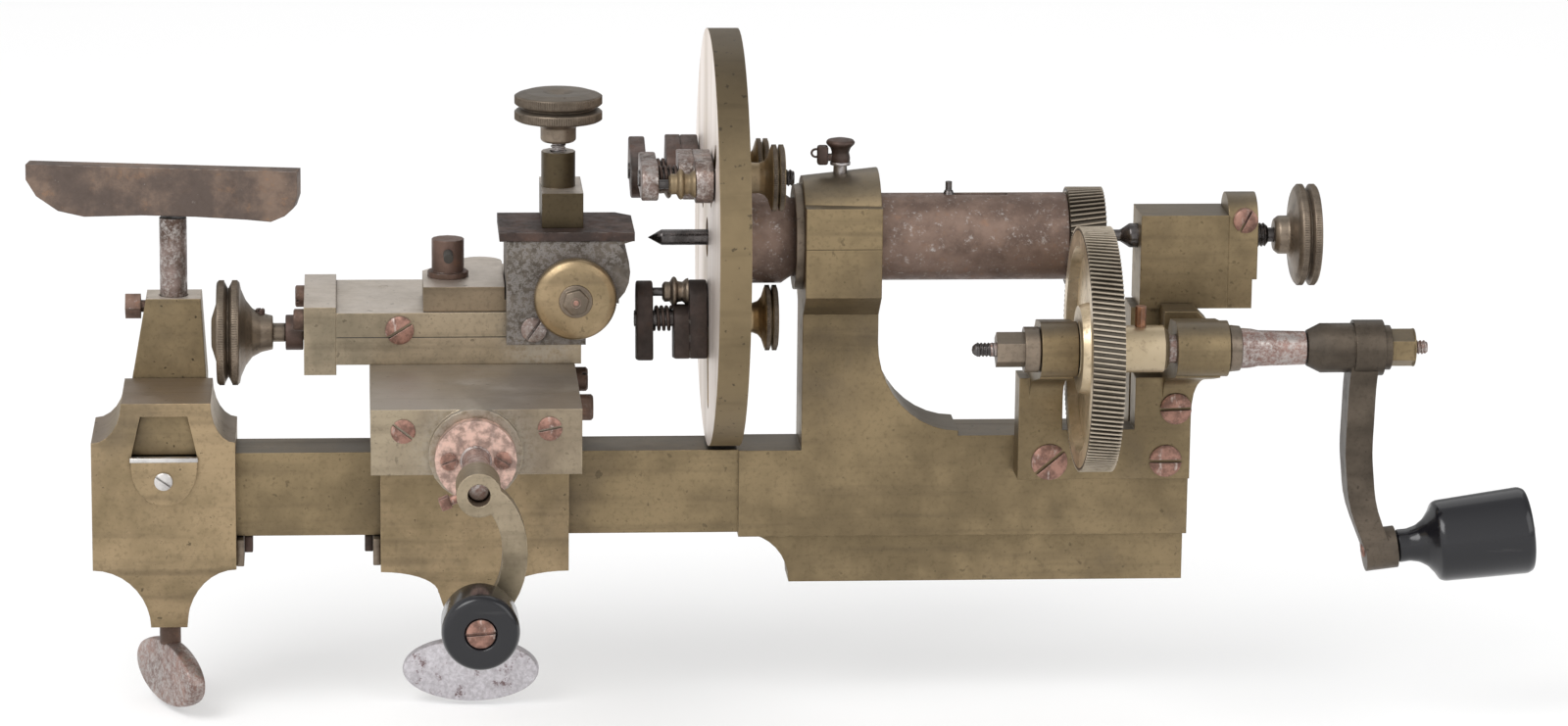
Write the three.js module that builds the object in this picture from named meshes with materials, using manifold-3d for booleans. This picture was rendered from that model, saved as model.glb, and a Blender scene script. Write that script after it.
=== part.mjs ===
// A watchmaker's mandrel: a small brass faceplate lathe turned by a hand crank through helical gears.
// Millimetres, +X towards the crank, +Y away from the viewer, +Z up.
// The origin is the middle of the underside of the foot that a bench vice grips.
import * as THREE from 'three';
import { mergeVertices } from 'three/addons/utils/BufferGeometryUtils.js';
import Module from 'manifold-3d';

const wasm = await Module();
wasm.setup();

// Clearances shared by all the pieces.
const gap = { run: 0.1, fit: 0.06, slide: 0.12, rest: 0.3, overrun: 1.5 };

// Counts of sides for round shapes.
const sides = { big: 60, shaft: 24, small: 12, screw: 8 };

const bed = {
  left: -222.5, depth: 15.5, low: 13.7, top: 35.3,
  headLeft: -63.4, headRight: 51.8, headDepth: 17.8, headLow: 12.7, headTop: 38.9,
  stepX: -7.5, stepUp: 1.3,
  footLeft: -50.2, footRight: 51.2, footDepth: 12, footRound: 11.5,
  pillarLeft: 36.5, pillarDepth: 12,
};

const plate = { radius: 53, thick: 7.8, back: -63.6, spigot: 5, overBed: 0.7 };

// The axes that everything hangs on. The spindle lies as low as lets the faceplate clear the bed.
const spindleUp = bed.top + plate.radius + plate.overBed;
const crankDown = 21.3;
const axis = {
  spindle: spindleUp, crankFront: 36.7, crank: spindleUp - crankDown, crossX: -131.4, cross: 47.3,
};

// Heights here and in cap, oiler, pump and tail are counted down or up from the spindle's axis.
const block = {
  left: -47.5, right: -28.3, depth: 34, slopeLowDown: 18.4, slopeTopDown: 12.3, arcTopDown: 25.6,
};

const cap = { ledgeUp: 10.5, leftRadius: 15.6, rightRadius: 17.7 };

const bush = { wall: 2.2, flange: 3.2, flangeLength: 2.1 };

const oiler = {
  x: -37.8, stem: 1.7, stemUp: 18.9, cup: 3.1, cupUp: 20.6, waist: 2, waistUp: 22.6,
  rim: 3.4, rimUp: 23.9, topUp: 25.4, wingLeft: -44.2, wingLowUp: 19.2, wingTopUp: 23.4, wingThick: 1.6,
};


const slot = { width: 5.2, inner: 20, outerFromRim: 12 };

const spindle = {
  nose: 11.7, noseEnd: -52.8, journal: 10, journalStart: -50.3, barrelStart: -27.9,
  barrel: 11.1, barrelEnd: 19.75, seat: 7, end: 29.4,
};

const pump = {
  radius: 2, tip: -86.5, coneLength: 3.5, tail: -8.4, pinX: -10.1, pinRadius: 0.85, pinUp: 14.2,
  travel: 13.8,
};

const teeth = { wheel: 140, pinion: 56, addendum: 0.34, dedendum: 0.46, helixShift: 0.98 };
const toothTopShare = 0.3;
const toothRootShare = 0.52;

const pinion = { left: 20, right: 29.1 };

const wheel = {
  left: 19.2, right: 27.2, hubLeft: 18.9, hubRight: 41.6, leftHub: 8, rightHub: 5.9, chamfer: 1.2,
  dishInner: 10.5, dishOuter: 26.3, dishDepth: 2.6,
};

const wheelPin = { x: 34.7, radius: 1.4, height: 10.9, seatDepth: 1.8 };

const shaft = {
  stubLeft: -7.5, stub: 1.8, journal: 3.5, journalLeft: 9.3, collarLeft: 56.9, collar: 5.9,
  collarRight: 59.8, flareRight: 64.9, flare: 4.4, coneLeft: 76.6, tang: 3, tangRight: 97.4,
  stubRight: 107.1,
};

const shaftNut = { left: -1.4, right: 5.8, radius: 4.5, washerRight: 9.2, washer: 5.7 };

const bracket = {
  left: 6.9, right: 50.8, back: 8.9, front: 18, lowDown: 38.2, topDown: 11.8, flareRight: 54.8,
  flareDown: 12, flareEdge: 3, plateUp: 5.3, corner: 3,
  slotLeft: 18, slotRight: 36.5, slotDown: 25.3, cheekDown: 10.9,
  boss: 7, boss1Left: 9.5, boss1Right: 18.6, boss2Left: 46.2, boss2Right: 56.6,
};

const arm = {
  hubLeft: 76.6, hubSmall: 4.5, hubConeEnd: 80, hub: 6.2, hubRight: 88.2,
  eye: 7, eyeLeft: 87.4, eyeRight: 95.7, ring: 5.6, ringRight: 97.6,
  thick: 6.8, halfWidth: 4.6, throw: 52, lowEye: 5.3, lowLeft: 92.8, lowRight: 100.9,
  pinRadius: 2, pinRight: 134.6, tiltDegrees: 7,
};
// The bow of the arm: shares of the throw, and how far the middle of the bar lies from the eye's middle.
const armShares = [0, 0.15, 0.34, 0.5, 0.6, 0.77, 1];
const armBows = { at0: 0, at1: -1, at2: -1.35, at3: -1.5, at4: -1.1, at5: 0.1, at6: 4.6 };

const crankNut = { right: 103.7, radius: 4.8 };

const handle = {
  left: 101.4, neck: 4.2, neckRight: 104.2, flareRight: 112.4, flare: 10.2, right: 135.2, end: 11.1,
  round: 1.6, recess: 3.4, recessDepth: 1.6,
};

const tail = {
  left: 38.4, right: 60.8, depth: 15.5, lowDown: 17.5, topUp: 6.6, capRight: 68.3, humpRadius: 7.75,
  humpUp: 3.4, capStep: 1.2, capStepDown: 10,
};

const tailScrew = {
  tip: 29.8, tipRadius: 1.5, coneStart: 34, radius: 3.1, coneLength: 2.4, threadEnd: 71.8, neck: 1.85,
  neckEnd: 78.3,
};

const tailKnob = {
  left: 73.4, hub: 4.9, hubEnd: 76.1, right: 84.4, radius: 12.8, rim: 2.2, grooveDepth: 2,
};

const dog = {
  angles: [-78.6, 41.4, 161.4], reaches: [20.5, 29.7, 34], swivels: [0, 137, 0],
  strapFront: -89.6, strapThick: 4.2, strapInner: 9.6, strapOuter: 10.6, strapWidth: 9, strapTip: 3,
  boltRadius: 2.1, boltHeadThick: 1, boltEnd: -52,
  springOuter: 3.3, springWire: 0.7, springCurls: 3,
  seatFront: -80.2, footThick: 4.6, baseInner: 9.8, baseOuter: 10.2, baseWidth: 10.5, stepAt: 3.1,
  postAt: 6.7, postRadius: 1.1, postFront: -88.6, acorn: 3.5, acornLength: 4.8,
};

// Steps of a curl and sides of the wire, then the steps that the spring's gap is measured with.
const springSteps = 8;
const springSides = 5;
const gapSteps = 24;

const nut = { hub: 3.8, length: 9.6, rim: 8.2, rimThick: 4.6, groove: 1.2, flareLength: 3.4 };

const restSaddle = {
  left: -226.9, right: -190.8, depth: 28.4, topLeft: -219.3, topRight: -196.9, top: 49.8,
  shoulder: 39.6, sideLow: 6.6, noseLow: -10.4, noseHalf: 4.6, noseStart: 3.2, noseDepthShare: 0.45,
};

const rail = { centre: -208.6, topHalf: 5.8, lowHalf: 8.3, top: 46.3 };

const stopPlate = { thick: 1.6, top: 35, low: 23.6 };

const shoe = {
  front: -11, back: -30.4, towerFront: -14.8, low: 35.8,
  footHalf: 9.6, footTop: 47.8, headHalf: 7, headInset: 2, top: 69.9, headCentre: -206.8, boreLow: 43.5,
};

const post = { y: 22, radius: 3.5, low: 50.5 };

const blade = { left: 37.4, right: 32.6, top: 103.4, height: 13.2, thick: 5.4, turnDegrees: 9 };
// The lower edge of the blade, as shares of its half length and of its height.
const bladeEdgeShares = [[-1, 0.3], [-0.93, 0.62], [-0.78, 0.9], [-0.6, 1], [-0.2, 0.94], [0.2, 0.94],
  [0.6, 0.97], [0.79, 1], [0.9, 0.88], [0.97, 0.72], [1, 0.5]];

const socketScrew = { z: 67, head: 4.6, headLeft: -219.2, headRight: -215.2, radius: 1.6, tip: -210.8 };

const thumb = {
  neck: 2.7, stem: 2.6, plateLength: 35, plateHeight: 16.6, plateThick: 4.5, centre: -24,
  restDegrees: -65, slideDegrees: -4,
};

const slideSaddle = {
  left: -154.4, right: -106.8, depth: 28.4, top: 42.3, sideLow: 5.6, noseStart: -0.6, noseLow: -13.2,
  noseHalf: 4.6, noseFlat: 8.4, ribHalf: 8, ribTop: 51.5, noseDepthShare: 0.45,
};

const crossSlide = {
  left: -156.9, right: -105.3, front: 60, back: -34, low: 42.4, top: 58.8,
  boss: 11.5, bossThick: 2.2, bossUp: 0.6,
};

const crossScrew = { radius: 2.7, back: -22, collar: 4.6, collarThick: 2, front: 99.4, journal: 2.7 };

const disc = { radius: 10, thick: 1.4 };

const crossArm = {
  hub: 5.4, back: 88.2, front: 100, thick: 4.4, width: 6, throw: 28.8, lowEye: 4.6, bow: 8.6,
  pinRadius: 1.9,
};

const crossHandle = { radius: 9.2, back: 103.2, front: 119.4, round: 1.6, neck: 6.4, neckLength: 3 };

const bar = { left: -165.3, right: -103.7, front: 11, back: -29, low: 58.8, top: 72.1 };

const endPlate = { left: -173.4, low: 56.2, rise: 1.5 };

const feed = {
  y: 9, z: 62.8, left: -195.6, rimThick: 5.8, radius: 13.3, groove: 2.2, coneEnd: -181.4, coneSmall: 4.2,
  domeLength: 1.4, neck: 2.4, collarLeft: -178.2, collar: 4.6, screw: 1.8, right: -105.4,
};

const channel = { half: 5, high: 66.3 };

const carriage = {
  plateLeft: -143.4, plateRight: -122.9, plateTop: 78.5, front: 10, roundBack: -27, roundHalf: 5.6,
  baseTop: 75.2, baseRight: -96.8,
  back: -33.6, flapLeft: -120.6, flapRight: -99.5, nutLeft: -113.5, nutRight: -106, travel: 15,
};

const head = {
  left: -122.6, right: -91.6, front: 15, back: -15.5, top: 91.2, apronLow: 64.6, apronRight: -102.7,
  waist: 2.8,
};

const clampPlate = { left: -124.4, right: -90.5, front: 15.4, back: -10, thick: 2.3, chamfer: 4 };

const toolPost = {
  left: -113.6, right: -103.2, front: 10, back: -12, top: 102.4, boss: 4.3, bossTop: 111.4, bore: 2,
};

const topKnob = {
  x: -109.2, y: 0, screw: 1.9, low: 94.2, hubLow: 113.8, hub: 4.5, discLow: 118.7, radius: 10.9,
  groove: 1.9, top: 127.4,
};

const frontKnob = {
  x: -105.6, z: 77.8, stud: 2.4, studDepth: 8, hub: 4.6, hubEnd: 19.2, rimEnd: 23.2, radius: 10.3,
  dome: 1.4, boss: 4.3, bossOut: 1.2,
};

const tommy = {
  x: -137, y: -3.5, washer: 5.2, washerThick: 1.4, head: 4.1, top: 88.2, hole: 1.1, holeDown: 3.2,
  shank: 2.2,
};

// Finishes, by name.
const brass = { color: 0x7d6c43, roughness: 0.5, metalness: 0.8 };
const darkBrass = { color: 0x5a4c34, roughness: 0.55, metalness: 0.75 };
const rust = { color: 0x6b4a3e, roughness: 0.6, metalness: 0.7 };
const steel = { color: 0x8b857e, roughness: 0.4, metalness: 0.9 };
const copper = { color: 0x9a6250, roughness: 0.5, metalness: 0.8 };
const black = { color: 0x17181b, roughness: 0.2, metalness: 0 };

// Turns a three.js geometry into a solid, with its faces pointing outwards.
function solid(geometry) {
  const bare = geometry.clone();
  bare.deleteAttribute('normal');
  bare.deleteAttribute('uv');
  const merged = mergeVertices(bare);
  const place = merged.attributes.position;
  const index = merged.index.array;
  const corners = [];
  let volume = 0;
  const a = new THREE.Vector3();
  const b = new THREE.Vector3();
  const c = new THREE.Vector3();
  for (let i = 0; i < index.length; i += 3) {
    const [p, q, r] = [index[i], index[i + 1], index[i + 2]];
    if (p !== q && q !== r && p !== r) {
      corners.push(p, q, r);
      a.fromBufferAttribute(place, p);
      b.fromBufferAttribute(place, q);
      c.fromBufferAttribute(place, r);
      volume += a.dot(b.cross(c));
    }
  }
  if (volume < 0) {
    for (let i = 0; i < corners.length; i += 3) {
      [corners[i], corners[i + 1]] = [corners[i + 1], corners[i]];
    }
  }
  const mesh = new wasm.Mesh({
    numProp: 3,
    vertProperties: new Float32Array(place.array),
    triVerts: new Uint32Array(corners),
  });
  return new wasm.Manifold(mesh);
}

function join(first, ...others) {
  return others.reduce((whole, other) => whole.add(other), first);
}

function cut(first, ...others) {
  return others.reduce((whole, other) => whole.subtract(other), first);
}

// A box between two values along each axis.
function box(x0, x1, y0, y1, z0, z1) {
  const geometry = new THREE.BoxGeometry(Math.abs(x1 - x0), Math.abs(y1 - y0), Math.abs(z1 - z0));
  geometry.translate((x0 + x1) / 2, (y0 + y1) / 2, (z0 + z1) / 2);
  return solid(geometry);
}

function shapeOf(points) {
  return new THREE.Shape(points.map(([u, v]) => new THREE.Vector2(u, v)));
}

function extrude(points, length) {
  return new THREE.ExtrudeGeometry(shapeOf(points), { depth: length, bevelEnabled: false, steps: 1 });
}

// Outlines in the X, Z plane, between two values of Y.
function slabY(points, y0, y1) {
  const geometry = extrude(points, Math.abs(y1 - y0));
  geometry.rotateX(Math.PI / 2);
  geometry.translate(0, Math.max(y0, y1), 0);
  return solid(geometry);
}

// Outlines in the Y, Z plane, between two values of X.
function slabX(points, x0, x1) {
  const geometry = extrude(points, Math.abs(x1 - x0));
  geometry.rotateX(Math.PI / 2);
  geometry.rotateZ(Math.PI / 2);
  geometry.translate(Math.min(x0, x1), 0, 0);
  return solid(geometry);
}

// Outlines in the X, Y plane, between two values of Z.
function slabZ(points, z0, z1) {
  const geometry = extrude(points, z1 - z0);
  geometry.translate(0, 0, z0);
  return solid(geometry);
}

// Turned pieces: a profile of [place along the axis, radius], about an axis along X, Y or Z.
function turned(profile, count) {
  return new THREE.LatheGeometry(profile.map(([along, radius]) => new THREE.Vector2(radius, along)), count);
}

function turnedX(profile, y, z, count = sides.shaft) {
  const geometry = turned(profile, count);
  geometry.rotateZ(-Math.PI / 2);
  geometry.translate(0, y, z);
  return solid(geometry);
}

function turnedY(profile, x, z, count = sides.shaft) {
  const geometry = turned(profile, count);
  geometry.translate(x, 0, z);
  return solid(geometry);
}

function turnedZ(profile, x, y, count = sides.shaft) {
  const geometry = turned(profile, count);
  geometry.rotateX(Math.PI / 2);
  geometry.translate(x, y, 0);
  return solid(geometry);
}

function rodX(x0, x1, radius, y, z, count = sides.shaft) {
  return turnedX([[x0, 0], [x0, radius], [x1, radius], [x1, 0]], y, z, count);
}

function rodY(y0, y1, radius, x, z, count = sides.shaft) {
  return turnedY([[y0, 0], [y0, radius], [y1, radius], [y1, 0]], x, z, count);
}

function rodZ(z0, z1, radius, x, y, count = sides.shaft) {
  return turnedZ([[z0, 0], [z0, radius], [z1, radius], [z1, 0]], x, y, count);
}

// Points on a part of an ellipse, between two angles in degrees.
function arc(cx, cz, rx, rz, from, to, steps = 10) {
  const points = [];
  for (let i = 0; i <= steps; i += 1) {
    const angle = THREE.MathUtils.degToRad(from + ((to - from) * i) / steps);
    points.push([cx + rx * Math.cos(angle), cz + rz * Math.sin(angle)]);
  }
  return points;
}

const pieces = new THREE.Group();

function add(name, body, finish, parent = pieces) {
  const data = body.getMesh();
  const geometry = new THREE.BufferGeometry();
  geometry.setAttribute('position', new THREE.BufferAttribute(new Float32Array(data.vertProperties), 3));
  geometry.setIndex(new THREE.BufferAttribute(new Uint32Array(data.triVerts), 1));
  const mesh = new THREE.Mesh(geometry, new THREE.MeshStandardMaterial(finish));
  mesh.name = name;
  parent.add(mesh);
  return mesh;
}

// The bed: a bar, the head's body with its arch, the foot, the lower half of the bearing and a tail pillar.
function bedCasting() {
  const barBody = box(bed.left, block.left + gap.overrun, -bed.depth / 2, bed.depth / 2, bed.low, bed.top);
  const archLow = bed.headTop + bed.stepUp;
  const archTop = axis.spindle - block.arcTopDown;
  const archHeight = archTop - archLow;
  const slopeLow = axis.spindle - block.slopeLowDown;
  const slopeTop = axis.spindle - block.slopeTopDown;
  const outline = [
    [bed.headLeft, bed.headLow], [bed.headRight, bed.headLow], [bed.headRight, bed.headTop],
    [bed.stepX, bed.headTop],
    ...arc(bed.stepX, archTop, bed.stepX - block.right, archHeight, 270, 180),
    [block.right, slopeLow], [block.left, slopeLow], [block.left, bed.top], [bed.headLeft, bed.top],
  ];
  const headBody = slabY(outline, -bed.headDepth / 2, bed.headDepth / 2);
  const footTop = bed.headLow + gap.overrun;
  const footOutline = [
    [bed.footLeft, 0], [bed.footRight, 0], [bed.footRight, footTop],
    [bed.footLeft - bed.footRound, footTop],
    ...arc(bed.footLeft - bed.footRound, 0, bed.footRound, bed.headLow, 90, 0, 8).slice(0, -1),
  ];
  const foot = slabY(footOutline, -bed.footDepth / 2, bed.footDepth / 2);
  const half = block.depth / 2;
  const narrow = bed.headDepth / 2;
  const bearing = slabX([
    [-narrow, archTop], [narrow, archTop], [narrow, slopeLow], [half, slopeTop],
    [half, axis.spindle], [-half, axis.spindle], [-half, slopeTop], [-narrow, slopeLow],
  ], block.left, block.right);
  const pillar = box(
    bed.pillarLeft, bed.headRight, -bed.pillarDepth / 2, bed.pillarDepth / 2, bed.headLow,
    axis.spindle - tail.lowDown,
  );
  return cut(join(barBody, headBody, foot, bearing, pillar), bearingBore());
}

// A bore's corner radius, so that a round shaft clears the flats between its corners.
function running(radius, count = sides.shaft) {
  return (radius + gap.run) / Math.cos(Math.PI / count);
}

function bearingBore() {
  const radius = running(spindle.journal) + bush.wall + gap.fit;
  return rodX(block.left - gap.overrun, block.right + gap.overrun, radius, 0, axis.spindle);
}

function bearingCap() {
  const half = block.depth / 2;
  const split = axis.spindle + gap.slide;
  const low = box(block.left, block.right, -half, half, split, axis.spindle + cap.ledgeUp);
  const cone = turnedX(
    [[block.left, 0], [block.left, cap.leftRadius], [block.right, cap.rightRadius], [block.right, 0]],
    0, axis.spindle, sides.shaft,
  );
  const upper = box(
    block.left - gap.overrun, block.right + gap.overrun, -half, half, split,
    axis.spindle + half + gap.overrun,
  );
  const oilHole = rodZ(
    axis.spindle, axis.spindle + cap.rightRadius + gap.overrun, oiler.stem + gap.fit, oiler.x, 0,
    sides.small,
  );
  return cut(join(low, cone.intersect(upper)), bearingBore(), oilHole);
}

function bearingBush() {
  const inner = running(spindle.journal);
  const outer = inner + bush.wall;
  const flange = inner + bush.flange;
  return turnedX([
    [block.left - bush.flangeLength, inner], [block.left - bush.flangeLength, flange], [block.left, flange],
    [block.left, outer], [block.right, outer], [block.right, inner],
    [block.left - bush.flangeLength, inner],
  ], 0, axis.spindle);
}

function oilCup() {
  const up = axis.spindle;
  const foot = up + cap.rightRadius - gap.overrun;
  const body = turnedZ([
    [foot, 0], [foot, oiler.stem], [up + oiler.stemUp, oiler.stem], [up + oiler.stemUp, oiler.cup],
    [up + oiler.cupUp, oiler.cup], [up + oiler.waistUp, oiler.waist], [up + oiler.rimUp, oiler.rim],
    [up + oiler.topUp, oiler.rim], [up + oiler.topUp, 0],
  ], oiler.x, 0, sides.small);
  const wingHalf = oiler.wingThick / 2;
  const wing = box(
    oiler.wingLeft, oiler.x, -wingHalf, wingHalf, up + oiler.wingLowUp, up + oiler.wingTopUp,
  );
  return join(body, wing);
}

function spindleBody() {
  const front = plate.back - plate.thick + gap.rest;
  const shoulder = plate.back;
  const boreEnd = pump.tail + pump.travel + gap.rest;
  const bore = pump.radius + gap.run;
  const body = turnedX([
    [boreEnd, 0], [boreEnd, bore], [front, bore], [front, plate.spigot], [shoulder, plate.spigot],
    [shoulder, spindle.nose], [spindle.noseEnd, spindle.nose], [spindle.journalStart, spindle.journal],
    [spindle.barrelStart, spindle.journal], [spindle.barrelStart, spindle.barrel],
    [spindle.barrelEnd, spindle.barrel], [spindle.barrelEnd, spindle.seat], [spindle.end, spindle.seat],
    [spindle.end, 0],
  ], 0, axis.spindle);
  const half = pump.pinRadius + gap.rest;
  const keyway = box(
    pump.pinX - half, pump.pinX + pump.travel + half, -half, half,
    axis.spindle, axis.spindle + spindle.barrel + gap.overrun,
  );
  return cut(body, keyway);
}

function pumpCentre() {
  const rod = turnedX([
    [pump.tip, 0], [pump.tip + pump.coneLength, pump.radius], [pump.tail, pump.radius], [pump.tail, 0],
  ], 0, axis.spindle);
  const pin = rodZ(axis.spindle, axis.spindle + pump.pinUp, pump.pinRadius, pump.pinX, 0, sides.screw);
  return join(rod, pin);
}

// The disc with three radial slots, one for each dog.
function faceplate() {
  const front = plate.back - plate.thick;
  let body = turnedX([
    [front, plate.spigot + gap.fit], [front, plate.radius], [plate.back, plate.radius],
    [plate.back, plate.spigot + gap.fit], [front, plate.spigot + gap.fit],
  ], 0, axis.spindle, sides.big);
  dog.angles.forEach((angle) => {
    const half = slot.width / 2;
    const outline = [
      ...arc(plate.radius - slot.outerFromRim, 0, half, half, -90, 90, 8),
      ...arc(slot.inner, 0, half, half, 90, 270, 8),
    ];
    const geometry = extrude(outline, plate.thick + 2 * gap.overrun);
    geometry.translate(0, 0, front - gap.overrun);
    geometry.applyMatrix4(dogFrame(angle, 0));
    body = cut(body, solid(geometry));
  });
  return body;
}

function outwardAt(angle) {
  const turn = THREE.MathUtils.degToRad(angle);
  return new THREE.Vector3(0, -Math.cos(turn), Math.sin(turn));
}

// Turns a dog's own frame, u towards its mouth, v sideways and w along X, into the model's.
// The mouth points away from the spindle, unless the dog is swivelled on its bolt.
function dogFrame(angle, reach, swivel = 0) {
  const facing = outwardAt(angle + swivel);
  const along = new THREE.Vector3(1, 0, 0);
  const sideways = along.clone().cross(facing);
  const frame = new THREE.Matrix4().makeBasis(facing, sideways, along);
  frame.setPosition(outwardAt(angle).multiplyScalar(reach).setComponent(0, 0));
  return frame.premultiply(new THREE.Matrix4().makeTranslation(0, 0, axis.spindle));
}

function dogRod(radius, from, to, u = 0, count = sides.small) {
  const geometry = turned([[from, 0], [from, radius], [to, radius], [to, 0]], count);
  geometry.rotateX(Math.PI / 2);
  geometry.translate(u, 0, 0);
  return geometry;
}

// The L-shaped base with the guide post and its acorn nut.
function dogBase(frame) {
  const half = dog.baseWidth / 2;
  const back = plate.back - plate.thick - gap.rest;
  const step = back - dog.footThick;
  const foot = slabOf(
    [[-dog.baseInner, -half], [dog.baseOuter, -half], [dog.baseOuter, half], [-dog.baseInner, half]],
    step, back,
  );
  const seat = slabOf(
    [[-dog.stepAt, -half], [dog.baseOuter, -half], [dog.baseOuter, half], [-dog.stepAt, half]],
    dog.seatFront, back,
  );
  const postRod = solid(dogRod(dog.postRadius, dog.postFront, back, -dog.postAt, sides.screw));
  const acornFront = step - dog.acornLength;
  const waist = dog.acorn - dog.postRadius / 2;
  const acornGeometry = turned([
    [acornFront, 0], [acornFront, dog.postRadius * 2], [acornFront + dog.acornLength / 3, dog.acorn],
    [step - dog.acornLength / 3, dog.acorn], [step, waist], [step + gap.rest, waist], [step + gap.rest, 0],
  ], sides.small);
  acornGeometry.rotateX(Math.PI / 2);
  acornGeometry.translate(-dog.postAt, 0, 0);
  const bolt = solid(dogRod(dog.boltRadius + gap.run, dog.seatFront - gap.overrun, back + gap.overrun));
  return placed(cut(join(foot, seat, postRod, solid(acornGeometry)), bolt), frame);
}

function slabOf(points, from, to) {
  const geometry = extrude(points, to - from);
  geometry.translate(0, 0, from);
  return solid(geometry);
}

function placed(body, frame) {
  return body.transform(frame.elements);
}

function dogStrap(frame) {
  const half = dog.strapWidth / 2;
  const back = dog.strapFront + dog.strapThick;
  const outline = [
    [-dog.strapInner, -half], [dog.strapOuter - dog.strapTip, -half],
    ...arc(dog.strapOuter - dog.strapTip, 0, dog.strapTip, half, -80, 80, 6),
    [dog.strapOuter - dog.strapTip, half], [-dog.strapInner, half],
  ];
  const body = slabOf(outline, dog.strapFront, back);
  const bolt = solid(dogRod(dog.boltRadius + gap.fit, dog.strapFront - gap.overrun, back + gap.overrun));
  const postHole = solid(
    dogRod(
      dog.postRadius + gap.rest, dog.strapFront - gap.overrun, back + gap.overrun, -dog.postAt, sides.screw,
    ),
  );
  return placed(cut(body, bolt, postHole), frame);
}

function dogBolt(frame) {
  const front = dog.strapFront - dog.boltHeadThick / 2;
  const geometry = turned([
    [front, 0], [front, dog.boltRadius], [dog.boltEnd, dog.boltRadius], [dog.boltEnd, 0],
  ], sides.small);
  geometry.rotateX(Math.PI / 2);
  return placed(solid(geometry), frame);
}

// An open coil between the strap and the seat, round the bolt.
function dogSpring(frame) {
  const from = dog.strapFront + dog.strapThick + dog.springWire / 2 + gap.rest;
  const to = dog.seatFront - dog.springWire / 2 - gap.rest;
  const radius = dog.springOuter - dog.springWire / 2;
  const coil = helixTube(radius, dog.springWire / 2, from, to, dog.springCurls);
  return placed(solid(coil), frame);
}

// One unbroken tube round a helix.
function helixTube(radius, wire, from, to, curls) {
  const steps = springSteps * curls;
  const ring = springSides;
  const points = [];
  const index = [];
  const rise = (to - from) / steps;
  for (let i = 0; i <= steps; i += 1) {
    const angle = (i / springSteps) * 2 * Math.PI;
    const out = new THREE.Vector3(Math.cos(angle), Math.sin(angle), 0);
    const centre = out.clone().multiplyScalar(radius).setZ(from + rise * i);
    const step = (radius * 2 * Math.PI) / springSteps;
    const tangent = new THREE.Vector3(-Math.sin(angle) * step, Math.cos(angle) * step, rise);
    const side = new THREE.Vector3().crossVectors(tangent.normalize(), out);
    for (let j = 0; j < ring; j += 1) {
      const turn = (j / ring) * 2 * Math.PI;
      const point = centre.clone().addScaledVector(out, wire * Math.cos(turn));
      point.addScaledVector(side, wire * Math.sin(turn));
      points.push(point.x, point.y, point.z);
    }
  }
  for (let i = 0; i < steps; i += 1) {
    for (let j = 0; j < ring; j += 1) {
      const a = i * ring + j;
      const b = i * ring + ((j + 1) % ring);
      index.push(a, b, b + ring, a, b + ring, a + ring);
    }
  }
  const last = steps * ring;
  for (let j = 1; j < ring - 1; j += 1) {
    index.push(0, j + 1, j);
    index.push(last, last + j, last + j + 1);
  }
  const geometry = new THREE.BufferGeometry();
  geometry.setAttribute('position', new THREE.BufferAttribute(new Float32Array(points), 3));
  geometry.setIndex(index);
  geometry.setAttribute('normal', geometry.attributes.position.clone());
  geometry.setAttribute('uv', geometry.attributes.position.clone());
  return geometry;
}

// Measures the least gap between neighbouring curls on points of the spring's middle line.
function springGap() {
  const from = dog.strapFront + dog.strapThick + dog.springWire / 2 + gap.rest;
  const to = dog.seatFront - dog.springWire / 2 - gap.rest;
  const radius = dog.springOuter - dog.springWire / 2;
  const samples = gapSteps * dog.springCurls;
  const line = [];
  for (let i = 0; i <= samples; i += 1) {
    const angle = (i / gapSteps) * 2 * Math.PI;
    const along = from + ((to - from) * i) / samples;
    line.push(new THREE.Vector3(radius * Math.cos(angle), radius * Math.sin(angle), along));
  }
  let least = Infinity;
  for (let i = 0; i < line.length; i += 1) {
    for (let j = i + gapSteps / 2; j < line.length; j += 1) {
      least = Math.min(least, line[i].distanceTo(line[j]));
    }
  }
  return least - dog.springWire;
}

// A trumpet-shaped thumb nut with a double rim, behind the faceplate.
function dogNut(frame) {
  const from = plate.back + gap.rest;
  const end = from + nut.length;
  const rimStart = end - nut.rimThick;
  const middle = (rimStart + end) / 2;
  const bore = running(dog.boltRadius);
  const geometry = turned([
    [from, bore], [from, nut.hub + nut.groove / 2], [from + nut.groove, nut.hub],
    [rimStart - nut.flareLength / 2, nut.hub],
    [rimStart - nut.groove / 2, (nut.hub + nut.rim) / 2], [rimStart, nut.rim],
    [middle - nut.groove / 2, nut.rim], [middle, nut.rim - nut.groove], [middle + nut.groove / 2, nut.rim],
    [end, nut.rim], [end, bore], [from, bore],
  ], sides.shaft);
  geometry.rotateX(Math.PI / 2);
  return placed(solid(geometry), frame);
}

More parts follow.
